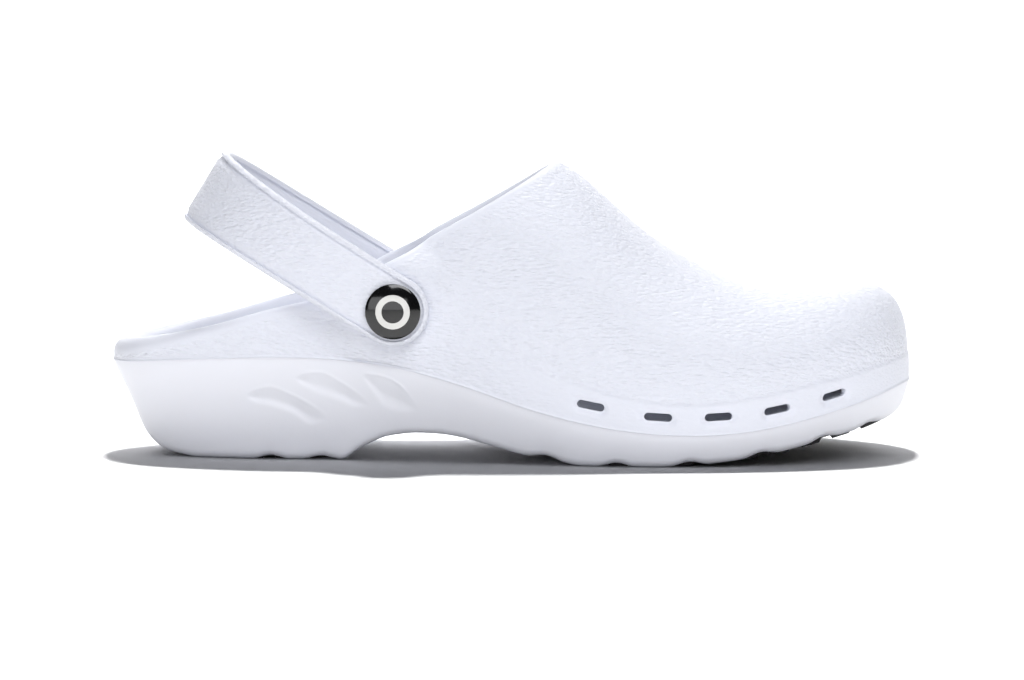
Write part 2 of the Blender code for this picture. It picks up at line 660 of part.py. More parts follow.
def tread_body(name, tread, grown, recipe=None):
    """Rubber insert, or with some growth the cutter of its pocket. Its underside follows the sole's
    with cross lugs; its sides follow the outline and round off at both ends."""
    first, last = tread.first * LENGTH - grown, tread.last * LENGTH + grown
    pitch = TREAD_LUG_LENGTH + TREAD_LUG_SPACE
    lugs = max(1, round((last - first) / pitch))
    step = (last - first) / lugs
    stations = [first]
    for k in range(1, lugs):
        edge = first + k * step
        stations += [edge - TREAD_LUG_SPACE / 2 - TREAD_RAMP, edge - TREAD_LUG_SPACE / 2,
                     edge + TREAD_LUG_SPACE / 2, edge + TREAD_LUG_SPACE / 2 + TREAD_RAMP]
    stations.append(last)
    x = np.array(stations)
    centre = (x - first) / (last - first) * 2 - 1
    rounding = (1 - np.abs(centre * TREAD_FULL) ** TREAD_ENDS) ** TREAD_CORNERS
    angle = angle_of(x / LENGTH)
    taper = column("taper", x / LENGTH) * SOLE_INSET
    margin = taper + TREAD_MARGIN - grown
    outer = -(half_width(angle, -1.0) - margin) * rounding
    inner = (half_width(angle, 1.0) - margin) * rounding
    across = np.linspace(0, 1, 4)
    y = outer[:, None] + (inner - outer)[:, None] * across
    spread = np.clip((x / LENGTH - PROUD_FIRST_SHARE) / (PROUD_LAST_SHARE - PROUD_FIRST_SHARE), 0, 1)
    proud = TREAD_PROUD * spread * spread * (3 - 2 * spread)
    groove = np.zeros(len(x))
    for k in range(1, len(x) - 1):
        groove[k] = TREAD_LUG_DEPTH if k % 4 in (2, 3) else 0.0
    low = sole_height(x) - proud + groove
    top = sole_height(x) + TREAD_THICKNESS + grown
    if grown:
        low = sole_height(x) - TREAD_THICKNESS
    xs = np.broadcast_to(x[:, None], y.shape)
    upper_face = np.stack([xs, y, np.broadcast_to(top[:, None], y.shape)], -1)
    lower_face = np.stack([xs, y, np.broadcast_to(low[:, None], y.shape)], -1)
    loop = np.concatenate([upper_face, lower_face[:, ::-1]], axis=1)
    index = np.arange(loop.shape[0] * loop.shape[1]).reshape(loop.shape[:2])
    width = y.shape[1]
    round_index = np.concatenate([index, index[:, :1]], axis=1)
    ends = []
    for row in (index[0], index[-1]):
        for k in range(width - 1):
            ends.append([row[k], row[k + 1], row[2 * width - 2 - k], row[2 * width - 1 - k]])
    faces = np.concatenate([strips(round_index, closed=False), np.array(ends)])
    return add_grid(name, loop.reshape(-1, 3), faces, recipe)


def build_treads(sole):
    """Both rubber inserts and the pockets that they sit in."""
    for tread in TREADS:
        tread_body(tread.name, tread, 0.0, RUBBER)
        cut(sole, tread_body(tread.name + "_pocket_cutter", tread, GAP))


def strap_frame():
    """Directions of the strap's plane: along its reach, back and up, and across its width."""
    reach = Vector((-math.cos(STRAP_SLOPE), 0, math.sin(STRAP_SLOPE)))
    width = Vector((math.sin(STRAP_SLOPE), 0, math.cos(STRAP_SLOPE)))
    return reach, width


def build_strap():
    """Heel strap: a flat band carried along a U in its own tilted plane, round at both ends."""
    outer_y = -(BOSS_OUTER + GAP + STRAP_THICKNESS / 2)
    inner_y = BOSS_INNER + GAP + STRAP_THICKNESS / 2
    end_radius = STRAP_END_WIDTH / 2
    back = STRAP_REACH - STRAP_THICKNESS / 2
    path = []
    for turned in np.radians([12, 28, 45, 65, 90]):
        path.append((-end_radius * math.cos(turned), -1.0, end_radius * math.sin(turned)))
    for share in (0.33, 0.66):
        path.append((STRAP_STRAIGHT * share, -1.0, None))
    for turned in np.linspace(0, math.pi, 19):
        swing = math.cos(turned)
        reach = STRAP_STRAIGHT + (back - STRAP_STRAIGHT) * math.sin(turned) ** (2 / STRAP_SQUARENESS)
        path.append((reach, -math.copysign(abs(swing) ** (2 / STRAP_SQUARENESS), swing), None))
    path += [(reach, -side, half) for reach, side, half in reversed(path[:7])]
    reach_way, width_way = strap_frame()
    pivot = Vector((PIVOT_ALONG, 0, PIVOT_HEIGHT))
    middle_y, half_y = (inner_y + outer_y) / 2, (inner_y - outer_y) / 2
    flat = np.array([(reach, middle_y + half_y * side) for reach, side, _ in path])
    tangent = np.gradient(flat, axis=0)
    tangent[:7] = (1, 0)
    tangent[-7:] = (-1, 0)
    tangent /= np.linalg.norm(tangent, axis=1, keepdims=True)
    half_thickness = STRAP_THICKNESS / 2
    columns = []
    for (reach, side, half), place, way in zip(path, flat, tangent):
        grow = np.clip(reach / STRAP_REACH, 0, 1) ** 3
        half = half or (STRAP_END_WIDTH + (STRAP_BACK_WIDTH - STRAP_END_WIDTH) * grow) / 2
        edge = min(STRAP_EDGE, half / 3)
        section = [
            (half, half_thickness - edge), (half - edge, half_thickness), (edge - half, half_thickness),
            (-half, half_thickness - edge), (-half, edge - half_thickness), (edge - half, -half_thickness),
            (half - edge, -half_thickness), (half, edge - half_thickness),
        ]
        column_points = []
        for across, out in section:
            point = pivot + reach_way * (place[0] + way[1] * out) + width_way * across
            point += Vector((0, place[1] - way[0] * out, 0))
            column_points.append(point)
        columns.append(column_points)
    points = np.array(columns)
    index = np.arange(points.shape[0] * 8).reshape(-1, 8)
    bm = bmesh.new()
    corners = [bm.verts.new(point) for point in points.reshape(-1, 3)]
    for quad in strips(np.concatenate([index, index[:, :1]], axis=1), closed=False):
        bm.faces.new([corners[k] for k in quad])
    for row in (index[0], index[-1]):
        bm.faces.new([corners[k] for k in row])
    return add_object("heel_strap", bm, FOAM)


def build_rivets(upper, strap):
    """Cap with its post outside, washer inside, and the bore through strap and wall, on both sides."""
    cap_radius, post_radius = CAP_DIAMETER / 2, POST_DIAMETER / 2
    bore_radius = post_radius + GAP
    for name, side, face in (("outer", -1.0, BOSS_OUTER), ("inner", 1.0, BOSS_INNER)):
        centre = (PIVOT_ALONG, 0, PIVOT_HEIGHT)
        cap_foot = face + 2 * GAP + STRAP_THICKNESS
        base_top = face - BOSS_WALL - GAP
        base_low = base_top - BASE_THICKNESS
        profile = [
            (0.0, base_low), (post_radius, base_low), (post_radius, cap_foot),
            (cap_radius - CAP_BEVEL, cap_foot), (cap_radius, cap_foot + CAP_RIM),
        ]
        for turned in np.radians([35, 60, 80]):
            profile.append((cap_radius * math.cos(turned), cap_foot + CAP_RIM + CAP_DOME * math.sin(turned)))
        profile.append((0.0, cap_foot + CAP_RIM + CAP_DOME))
        add_turned("rivet_cap_" + name, profile, centre, side, CAP_PLASTIC)
        washer_radius = BASE_DIAMETER / 2
        washer = [
            (bore_radius, base_low), (washer_radius - BASE_BEVEL, base_low),
            (washer_radius, base_low + BASE_BEVEL), (washer_radius, base_top), (bore_radius, base_top),
        ]
        add_turned("rivet_base_" + name, washer, centre, side, CAP_PLASTIC)
        depth = cap_foot + STRAP_THICKNESS
        start = base_low - BOSS_WALL
        bore = [(0.0, start), (bore_radius, start), (bore_radius, depth), (0.0, depth)]
        cutter = add_turned("bore_cutter_" + name, bore, centre, side, steps=BORE_STEPS)
        cut(upper, cutter)
        cut(strap, cutter)


def centre_clog(centre):
    """Moves the clog so that its origin is the bottom centre of its bounding box."""
    bpy.context.view_layer.update()
    corners = []
    for piece in bpy.data.objects:
        if piece.type == "MESH" and not piece.hide_render:
            corners += [vertex.co for vertex in piece.data.vertices]
    corners = np.array(corners)
    low, high = corners.min(axis=0), corners.max(axis=0)
    centre.location = (-(low[0] + high[0]) / 2, -(low[1] + high[1]) / 2, -low[2])


def main():
    for old in list(bpy.data.objects):
        bpy.data.objects.remove(old, do_unlink=True)
    centre = bpy.data.objects.new("clog_centre", None)
    bpy.context.scene.collection.objects.link(centre)
    upper = build_upper()
    sole = build_sole()
    build_insole()
    build_treads(sole)
    strap = build_strap()
    build_rivets(upper, strap)
    centre_clog(centre)


main()
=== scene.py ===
"""Moulded foam clog with a heel strap: its looks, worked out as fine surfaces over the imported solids.

Metres. +X points to the toe, +Y to the inner side of the foot, +Z up. Shapes are worked out in the
frame of the last, with x = 0 at the back of the heel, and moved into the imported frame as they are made.
"""
import json
import math
from collections import namedtuple

import bpy
import numpy as np
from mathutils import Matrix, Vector

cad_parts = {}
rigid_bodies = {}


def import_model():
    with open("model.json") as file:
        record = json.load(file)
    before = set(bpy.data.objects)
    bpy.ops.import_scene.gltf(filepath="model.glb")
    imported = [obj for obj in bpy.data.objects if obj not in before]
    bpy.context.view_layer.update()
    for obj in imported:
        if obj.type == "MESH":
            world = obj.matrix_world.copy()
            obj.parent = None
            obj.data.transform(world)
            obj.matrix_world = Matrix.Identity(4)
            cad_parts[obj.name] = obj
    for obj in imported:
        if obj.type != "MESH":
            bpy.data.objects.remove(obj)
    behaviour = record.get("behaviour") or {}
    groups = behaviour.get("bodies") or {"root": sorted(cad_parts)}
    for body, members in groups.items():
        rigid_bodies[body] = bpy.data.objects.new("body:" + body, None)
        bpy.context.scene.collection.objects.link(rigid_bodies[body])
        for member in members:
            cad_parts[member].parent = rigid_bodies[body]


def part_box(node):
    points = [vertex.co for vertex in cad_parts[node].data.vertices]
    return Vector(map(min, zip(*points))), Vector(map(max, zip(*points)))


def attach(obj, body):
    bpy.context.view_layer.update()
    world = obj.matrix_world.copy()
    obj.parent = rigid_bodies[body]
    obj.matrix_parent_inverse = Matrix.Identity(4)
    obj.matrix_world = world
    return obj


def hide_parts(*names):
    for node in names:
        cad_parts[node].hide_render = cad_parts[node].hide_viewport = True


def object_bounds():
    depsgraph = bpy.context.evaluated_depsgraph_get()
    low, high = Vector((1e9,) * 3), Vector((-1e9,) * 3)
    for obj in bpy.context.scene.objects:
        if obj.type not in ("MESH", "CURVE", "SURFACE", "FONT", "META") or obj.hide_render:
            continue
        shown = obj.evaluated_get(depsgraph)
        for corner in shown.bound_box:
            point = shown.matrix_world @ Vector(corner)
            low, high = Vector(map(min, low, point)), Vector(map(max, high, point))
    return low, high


bl_info = {
    "name": "Foam clog",
    "version": (1, 0, 0),
    "blender": (4, 5, 0),
    "location": "3D View > Sidebar > Clog",
    "description": "Makes the visible surfaces of a moulded foam clog with a swivelling heel strap",
    "category": "Add Mesh",
}

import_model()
CAD_BOX = [list(corner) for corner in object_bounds()]

# Sizes of the last and the wall
LENGTH = 0.285
BALL_WIDTH = 0.101
INSTEP_HEIGHT = 0.1037
TOE_HEIGHT = 0.0595
SEAM_HEIGHT = 0.0366
SPINE_SHIFT = 0.002
LIP_WALL = 0.0105
LIP_HEIGHT = 0.0044
COLLAR_WALL = 0.0052
VAMP_WALL = 0.0032
TOE_WALL = 0.004
BAND_HEIGHT = 0.014
BAND_STEP = 0.0008
CREASE_WIDTH = 0.0016

# Sizes of the sole, the insole and the treads
ARCH_HEIGHT = 0.0099
TOE_SPRING = 0.0133
SOLE_INSET = 0.008
SCALLOP_DEPTH = 0.0013
SCALLOP_REACH = 0.014
INSOLE_THICKNESS = 0.004
INSOLE_CLEARANCE = 0.0012
TREAD_THICKNESS = 0.0026
TREAD_LUG_DEPTH = 0.0013
TREAD_LUG_LENGTH = 0.0075
TREAD_LUG_SPACE = 0.0035
TREAD_MARGIN = 0.0035
TREAD_PROUD = 0.0009
TREAD_RAMP = 0.0006
TREAD_FULL = 0.93
TREAD_ENDS = 5
TREAD_CORNERS = 0.4
PROUD_FIRST_SHARE, PROUD_LAST_SHARE = 0.72, 0.92

# Sizes of the vents, the strap and its rivets
SLOT_HEIGHT = 0.0030
PIVOT_ALONG = 0.1017
PIVOT_HEIGHT = 0.0533
BOSS_OUTER = 0.7723 * BALL_WIDTH / 2
BOSS_INNER = 0.7129 * BALL_WIDTH / 2
BOSS_RADIUS = 0.013
BOSS_BLEND = 0.013
BOSS_WALL = 0.0055
STRAP_END_WIDTH = 0.0245
STRAP_BACK_WIDTH = 0.0286
STRAP_THICKNESS = 0.0035
STRAP_REACH = 0.081
STRAP_STRAIGHT = 0.010
STRAP_SQUARENESS = 2.05
STRAP_SLOPE = math.radians(31.6)
CAP_DIAMETER = 0.019
CAP_RIM = 0.0012
CAP_DOME = 0.0019
POST_DIAMETER = 0.005
BASE_DIAMETER = 0.016
BASE_THICKNESS = 0.002
BASE_BEVEL = 0.0006

# Clearance between pieces that lie against each other
GAP = 0.0003

# Sections of the last, heel to toe. along is a share of LENGTH, outer and inner are shares of half
# the ball width, seam is a share of SEAM_HEIGHT, crown is the rise from toe height (0) to instep
# height (1), power is the squareness of the section, band is a share of BAND_HEIGHT, step is a share
# of BAND_STEP and taper is a share of SOLE_INSET.
Section = namedtuple("Section", "along outer inner seam crown power band step taper")
SECTIONS = [
    Section(0.000, 0.000, 0.000, 0.896, 0.83, 2.20, 0.10, 0.0, 1.10),
    Section(0.020, 0.320, 0.320, 0.910, 0.85, 2.20, 0.11, 0.0, 1.10),
    Section(0.050, 0.468, 0.468, 0.935, 0.87, 2.20, 0.13, 0.0, 1.10),
    Section(0.090, 0.565, 0.565, 0.960, 0.90, 2.20, 0.18, 0.0, 1.08),
    Section(0.140, 0.632, 0.630, 0.981, 0.95, 2.20, 0.27, 0.0, 1.00),
    Section(0.200, 0.672, 0.668, 1.000, 1.01, 2.10, 0.39, 0.0, 0.94),
    Section(0.260, 0.686, 0.676, 0.997, 1.05, 2.00, 0.54, 0.0, 0.88),
    Section(0.310, 0.705, 0.668, 0.967, 1.09, 1.95, 0.64, 0.0, 0.81),
    Section(0.365, 0.740, 0.655, 0.902, 1.12, 1.90, 0.79, 0.0, 0.69),
    Section(0.414, 0.780, 0.658, 0.811, 1.13, 1.85, 0.89, 0.0, 0.62),
    Section(0.460, 0.828, 0.690, 0.702, 1.13, 1.80, 0.97, 0.3, 0.60),
    Section(0.520, 0.893, 0.765, 0.533, 1.09, 1.75, 1.00, 1.0, 0.54),
    Section(0.570, 0.950, 0.850, 0.437, 0.99, 1.70, 0.95, 1.0, 0.48),
    Section(0.630, 0.992, 0.932, 0.350, 0.62, 1.75, 0.80, 1.0, 0.42),
    Section(0.690, 1.010, 0.972, 0.309, 0.31, 1.90, 0.74, 1.0, 0.40),
    Section(0.740, 1.000, 0.980, 0.305, 0.14, 2.10, 0.75, 1.0, 0.40),
    Section(0.790, 0.958, 0.955, 0.341, 0.01, 2.35, 0.80, 1.0, 0.40),
    Section(0.840, 0.882, 0.888, 0.408, -0.02, 2.50, 0.82, 1.0, 0.39),
    Section(0.880, 0.795, 0.808, 0.482, -0.01, 2.75, 0.80, 0.9, 0.38),
    Section(0.925, 0.650, 0.676, 0.570, 0.01, 3.25, 0.75, 0.8, 0.36),
    Section(0.960, 0.476, 0.524, 0.648, 0.01, 3.30, 0.70, 0.6, 0.35),
    Section(0.985, 0.260, 0.334, 0.694, 0.01, 3.30, 0.67, 0.5, 0.34),
    Section(1.000, -0.040, 0.040, 0.710, 0.01, 3.30, 0.66, 0.5, 0.34),
]

# Topline of the collar, rise is a share of the height from the heel's lip to the instep
PEAK_SHARE = 0.562
Rise = namedtuple("Rise", "along rise")
TOPLINE = [
    Rise(0.000, 0.000), Rise(0.063, 0.040), Rise(0.130, 0.100), Rise(0.204, 0.195),
    Rise(0.260, 0.258), Rise(0.344, 0.448), Rise(0.380, 0.546), Rise(0.413, 0.634),
    Rise(0.463, 0.762), Rise(0.511, 0.892), Rise(0.551, 1.008), Rise(PEAK_SHARE, 1.037),
]

# Wall of the upper along its length
Wall = namedtuple("Wall", "along thickness")
WALLS = [
    Wall(0.00, LIP_WALL), Wall(0.02, LIP_WALL), Wall(0.08, 0.72 * LIP_WALL), Wall(0.20, COLLAR_WALL),
    Wall(PEAK_SHARE, COLLAR_WALL), Wall(0.66, VAMP_WALL), Wall(0.88, VAMP_WALL), Wall(1.00, TOE_WALL),
]

# Underside. rise is a share of SEAM_HEIGHT behind the heel, of ARCH_HEIGHT and of TOE_SPRING
HEEL_BACK = [
    Rise(0.000, 0.930), Rise(0.004, 0.860), Rise(0.026, 0.520), Rise(0.045, 0.190), Rise(0.070, 0.055),
    Rise(0.105, 0.000),
]
ARCH = [
    Rise(0.295, 0.00), Rise(0.302, 0.16), Rise(0.312, 0.38), Rise(0.326, 0.60), Rise(0.349, 0.87),
    Rise(0.386, 1.00), Rise(0.411, 0.98), Rise(0.435, 0.89), Rise(0.460, 0.72), Rise(0.484, 0.54),
    Rise(0.509, 0.35), Rise(0.545, 0.19), Rise(0.580, 0.00),
]
SPRING = [
    Rise(0.684, 0.00), Rise(0.744, 0.09), Rise(0.821, 0.33), Rise(0.898, 0.69), Rise(0.951, 0.92),
    Rise(0.979, 1.08), Rise(0.993, 1.25), Rise(1.000, 1.40),
]

# Side of the sole from seam (0) to lower edge (1), inset is a share of the taper
Profile = namedtuple("Profile", "drop inset")
SOLE_WALL = [
    Profile(0.00, 0.00), Profile(0.12, 0.08), Profile(0.50, 0.46), Profile(0.80, 0.77), Profile(0.95, 0.93),
]
SCALLOPS = [0.2014, 0.2649, 0.5386, 0.6246, 0.7140, 0.8035, 0.8842, 0.9474]

# Blade facets on each side of the heel, upper and lower are shares of SEAM_HEIGHT
Blade = namedtuple("Blade", "along upper lower")
BLADES = [
    [
        Blade(0.174, 0.625, 0.615), Blade(0.188, 0.680, 0.570), Blade(0.204, 0.706, 0.548),
        Blade(0.232, 0.628, 0.470), Blade(0.255, 0.530, 0.360), Blade(0.276, 0.415, 0.395),
    ],
    [
        Blade(0.234, 0.805, 0.795), Blade(0.250, 0.842, 0.720), Blade(0.266, 0.850, 0.665),
        Blade(0.290, 0.765, 0.600), Blade(0.310, 0.660, 0.535), Blade(0.328, 0.545, 0.525),
    ],
    [
        Blade(0.317, 0.845, 0.830), Blade(0.330, 0.835, 0.700), Blade(0.346, 0.811, 0.545),
        Blade(0.364, 0.735, 0.500), Blade(0.378, 0.610, 0.490), Blade(0.388, 0.500, 0.480),
    ],
]

# Vent slots of the outer side, rise is the height of their middle over the seam in slot heights
SLOTS = [
    Rise(0.594, 2.27), Rise(0.675, 2.02), Rise(0.748, 2.11), Rise(0.820, 1.97), Rise(0.892, 1.87),
]

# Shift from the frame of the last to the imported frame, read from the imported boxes
CAP_REACH = BOSS_OUTER + 2 * GAP + STRAP_THICKNESS + CAP_RIM + CAP_DOME
TO_WORLD = np.array([CAD_BOX[0][0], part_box("rivet_cap_outer")[0].y + CAP_REACH, 0.0])

# Rubber inserts, with the shares of the length between which they lie
Tread = namedtuple("Tread", "name first last")
TREADS = [Tread("heel_tread", 0.075, 0.285), Tread("forefoot_tread", 0.530, 0.962)]

# Centre line that the columns lean to: straight across between the two fans
HEEL_FAN_SHARE, HEEL_SPINE_SHARE = 0.25, 0.09
TOE_FAN_SHARE, TOE_SPINE_SHARE = 0.75, 0.925
FAN_END_SLOPE = 0.3

# Fine surfaces: distance between columns, stretches where they stand closer, and numbers of rows
Stretch = namedtuple("Stretch", "first last boost")
VENT_STRETCH = Stretch(0.55, 0.93, 0.8)
BLADE_STRETCH = Stretch(0.15, 0.42, 0.9)
EVEN_STRETCH = Stretch(0.0, 1.0, 0.0)
STRETCH_BLEND = 0.02
COLUMN_SPACING = 0.0011
BEAD_HEIGHTS = [0.0, 0.00004, 0.00012, 0.00028, 0.00044, 0.0006, 0.0008]
BEAD_CREST = 0.15
BAND_ROWS = 20
CREASE_ROWS = 6
VAULT_ROWS = 42
RIM_ROWS = 12
SOLE_TOP_SHARES = [1.0, 0.75, 0.5, 0.25, 0.1]
SOLE_ROWS = 62
CORNER_ROWS = 9
UNDER_ROWS = 15
INSOLE_SHARES = [1.0, 0.8, 0.6, 0.4, 0.2, 0.1]
INSOLE_UNDER_SHARES = [0.0, 0.1, 0.4, 0.7, 1.0]
TREAD_SHARES = np.linspace(0, 1, 5)[1:-1, None, None, None]
TREAD_SPACING, POCKET_SPACING = 0.0004, 0.003
STRAP_FACE_SHARES = [0.0, 0.2, 0.4, 0.6, 0.8]
STRAP_EDGE_ROWS, STRAP_END_COLUMNS, STRAP_SIDE_COLUMNS = 8, 24, 300
STRAP_TURNS, STRAP_LEADS, STRAP_PLACES = 1200, 60, 600

# How far the leather grain stays off the bead, the crease, the dishes and the rim
GRAIN_OFF_SEAM = 0.0012
GRAIN_OFF_CREASE = 0.003
GRAIN_OFF_DISH = 0.0002
GRAIN_OFF_RIM = 0.0015
BAND_FROM, BAND_FADE, BAND_SMOOTHNESS = 0.46, 0.08, 0.65

# Blades: shares of the length over which their ends fade, least height, and the shares of their
# height at which the facet has come back to the wall and over which it does
BLADE_HEAD, BLADE_TAIL = 0.012, 0.03
BLADE_LEAST = 0.0001
BLADE_END, BLADE_FADE = 1.15, 0.5

# Share of the length over which the bead fades out at the boss, and of a dish's depth above its vent
BEAD_BREAK = 0.03
DISH_ABOVE = 0.35

# Share of the width to which a scallop's groove runs in under the sole
GROOVE_REACH = 0.42

# Caps: angle in degrees and height that the dome keeps off their edge, and how deep the ring is let in
DOME_START = 1.5
DOME_EASE = 0.0002
RING_SINK = 0.0003

# Foam: how strongly it bends light, how far each colour goes in, and how its grain is drawn out
FOAM_IOR = 1.47
FOAM_REACH = (0.004, 0.0038, 0.0036)
GRAIN_STRETCH = (0.5, 1.0, 1.3)

# Height over the floor that the camera aims at
CAMERA_AIM_HEIGHT = 0.0394

# Window widths, in radians round the last, that turn the tables into fair curves
OUTLINE_SPREAD = 0.035
SECTION_SPREAD = 0.06

# Edges sharper than these, in radians, stay sharp: on moulded pieces and on turned ones
SHARP = math.radians(40)
TURNED_SHARP = math.radians(30)

DENSE = 4096
TURNS = np.linspace(0, 2 * math.pi, DENSE, endpoint=False)
HALF_TURNS = np.minimum(TURNS, 2 * math.pi - TURNS)


def hex_colour(code):
    """Linear colour with full alpha from an sRGB hex code."""
    values = [int(code[k:k + 2], 16) / 255 for k in (0, 2, 4)]
    return tuple(v / 12.92 if v <= 0.04045 else ((v + 0.055) / 1.055) ** 2.4 for v in values) + (1.0,)


def smoothstep(t):
    """Eased step: 0 below 0, 1 above 1, three t squared less two t cubed between."""
    t = np.clip(t, 0, 1)
    return t * t * (3 - 2 * t)


def monotone(xs, ys, x):
    """Smooth curve through rows of values that never swings past them: a cubic with limited slopes."""
    xs = np.asarray(xs, float)
    ys = np.asarray(ys, float)
    width = np.diff(xs)
    slope = np.diff(ys) / width
    same = slope[:-1] * slope[1:] > 0
    total = np.where(same, slope[:-1] + slope[1:], 1.0)
    inner = np.where(same, 2 * slope[:-1] * slope[1:] / total, 0.0)
    bend = np.concatenate([slope[:1], inner, slope[-1:]])
    k = np.clip(np.searchsorted(xs, x, side="right") - 1, 0, len(width) - 1)
    t = np.clip((x - xs[k]) / width[k], 0, 1)
    s = 1 - t
    ends = s * s * (1 + 2 * t) * ys[k] + t * t * (3 - 2 * t) * ys[k + 1]
    return ends + width[k] * (t * s * s * bend[k] - t * t * s * bend[k + 1])


def angle_of(along):
    """Angle round the last for a share of the length: 0 at the heel's back, pi at the toe's tip."""
    return np.arccos(np.clip(1 - 2 * np.asarray(along, float), -1, 1))


def share_of(turn):
    """Share of the length for an angle round the last: half of one less its cosine."""
    return (1 - np.cos(turn)) / 2


def fair(samples, spread):
    """Samples round a full turn, averaged under a bell-shaped window so many radians wide."""
    spectrum = np.fft.rfft(samples)
    order = np.arange(len(spectrum))
    return np.fft.irfft(spectrum * np.exp(-0.5 * (order * spread) ** 2), len(samples))


def column(name):
    """One named column of SECTIONS round a full turn, the same on both sides."""
    values = [getattr(row, name) for row in SECTIONS]
    return monotone(angle_of([row.along for row in SECTIONS]), values, HALF_TURNS)


def fan(angle, start, end_along):
    """Spine share for angles past a fan's start: leaves it straight and slows towards its end."""
    first, last = angle_of(start), (math.pi if end_along > start else 0.0)
    reach = end_along - start
    slope = math.sin(first) / 2 * (last - first) / reach
    t = np.clip((angle - first) / (last - first), 0, 1)
    rise = slope * t * (1 - t) ** 2 + t * t * (3 - 2 * t) - FAN_END_SLOPE * t * t * (1 - t)
    return start + reach * rise


def spine_shares():
    """Share of the length at which each column meets the centre line, round a full turn."""
    heel = fan(HALF_TURNS, HEEL_FAN_SHARE, HEEL_SPINE_SHARE)
    toe = fan(HALF_TURNS, TOE_FAN_SHARE, TOE_SPINE_SHARE)
    front = np.where(HALF_TURNS > angle_of(TOE_FAN_SHARE), toe, share_of(HALF_TURNS))
    return np.where(HALF_TURNS < angle_of(HEEL_FAN_SHARE), heel, front)


SIDE_SHARES = np.where(TURNS <= math.pi, -column("outer"), column("inner"))
TABLES = {
    "y": fair(SIDE_SHARES * BALL_WIDTH / 2, OUTLINE_SPREAD),
    "spine": fair(spine_shares(), OUTLINE_SPREAD),
    "seam": fair(column("seam") * SEAM_HEIGHT, SECTION_SPREAD),
    "crown": fair(TOE_HEIGHT + column("crown") * (INSTEP_HEIGHT - TOE_HEIGHT), SECTION_SPREAD),
    "power": fair(column("power"), SECTION_SPREAD),
    "band": fair(column("band") * BAND_HEIGHT, SECTION_SPREAD),
    "step": fair(column("step") * BAND_STEP, SECTION_SPREAD),
    "taper": fair(column("taper") * SOLE_INSET, SECTION_SPREAD),
}


def read(name, turn):
    """Value of a table at any angle round the last."""
    return np.interp(turn, TURNS, TABLES[name], period=2 * math.pi)


def rises(rows, along, spread=0.004):
    """Table of rises at a share of the length, averaged over five places a spread apart."""
    xs, ys = [row.along for row in rows], [row.rise for row in rows]
    weights = {-2: 0.06, -1: 0.24, 0: 0.40, 1: 0.24, 2: 0.06}
    return sum(weight * monotone(xs, ys, along + spread * k) for k, weight in weights.items())


def seam_height(x):
    """Height of the parting line between sole and upper."""
    return read("seam", angle_of(x / LENGTH))


def sole_height(x):
    """Height of the sole's underside at the middle of its lobes: heel, arch and toe spring added up."""
    along = x / LENGTH
    heel = rises(HEEL_BACK, along, 0.002) * SEAM_HEIGHT
    return heel + rises(ARCH, along) * ARCH_HEIGHT + rises(SPRING, along) * TOE_SPRING


def outline(turn):
    """Point of the seam's outline seen from above."""
    return share_of(turn) * LENGTH, read("y", turn)


def inward(turn):
    """Unit direction square to the outline, towards the inside: its tangent turned by a quarter."""
    reach = 0.01
    x1, y1 = outline(turn - reach)
    x2, y2 = outline(turn + reach)
    size = np.hypot(x2 - x1, y2 - y1)
    return (y1 - y2) / size, (x2 - x1) / size


def inset_outline(turn, inset):
    """Outline moved inwards, square to itself."""
    x, y = outline(turn)
    in_x, in_y = inward(turn)
    return x + in_x * inset, y + in_y * inset


def spine(turn):
    """Point of the centre line that the column at this angle leans to."""
    along = read("spine", turn)
    return along * LENGTH, along * SPINE_SHIFT


def skin(turn, arc):
    """Outer surface of the upper: each column is a quarter of a superellipse from the seam (arc 0) to
    the ridge (arc pi / 2), cosine and sine to the power of two over the squareness, stepped in above
    the crease."""
    x0, y0 = outline(turn)
    spine_x, spine_y = spine(turn)
    spine_turn = angle_of(spine_x / LENGTH)
    power = read("power", spine_turn)
    out = np.cos(np.clip(arc, 0, math.pi / 2)) ** (2 / power)
    up = np.sin(np.clip(arc, 0, math.pi / 2)) ** (2 / power)
    base = read("seam", turn)
    z = base + (read("crown", spine_turn) - base) * up
    above = smoothstep((z - base - read("band", turn)) / CREASE_WIDTH + 0.5)
    step = read("step", turn) * above
    out = out * (1 - step / np.hypot(x0 - spine_x, y0 - spine_y))
    x = spine_x + (x0 - spine_x) * out
    y = spine_y + (y0 - spine_y) * out
    return np.stack(np.broadcast_arrays(x, y, z), -1)


def arc_at(turn, height):
    """Arc at which the column at this angle is a given height over the seam."""
    spine_turn = angle_of(spine(turn)[0] / LENGTH)
    up = np.clip(height / (read("crown", spine_turn) - read("seam", turn)), 0, 1)
    return np.arcsin(up ** (read("power", spine_turn) / 2))


def topline_height(turn):
    """Height of the collar's edge over the seam, which starts from the heel's lip."""
    lip = SEAM_HEIGHT + LIP_HEIGHT
    return lip + rises(TOPLINE, share_of(turn)) * (INSTEP_HEIGHT - lip) - read("seam", turn)


def wall_thickness(x):
    """Wall of the upper: thick at the heel's lip, thinner at the collar, thinnest over the vamp."""
    return monotone([row.along for row in WALLS], [row.thickness for row in WALLS], x / LENGTH)


def boss(points, turn, depth):
    """Flattens the wall round the strap's pivot to a plane, with an eased blend outside its radius."""
    away = np.hypot(points[..., 0] - PIVOT_ALONG, points[..., 2] - PIVOT_HEIGHT)
    weight = smoothstep(1 - (away - BOSS_RADIUS) / BOSS_BLEND)
    face = np.where(turn < math.pi, depth - BOSS_OUTER, BOSS_INNER - depth)
    points[..., 1] = points[..., 1] * (1 - weight) + face * weight


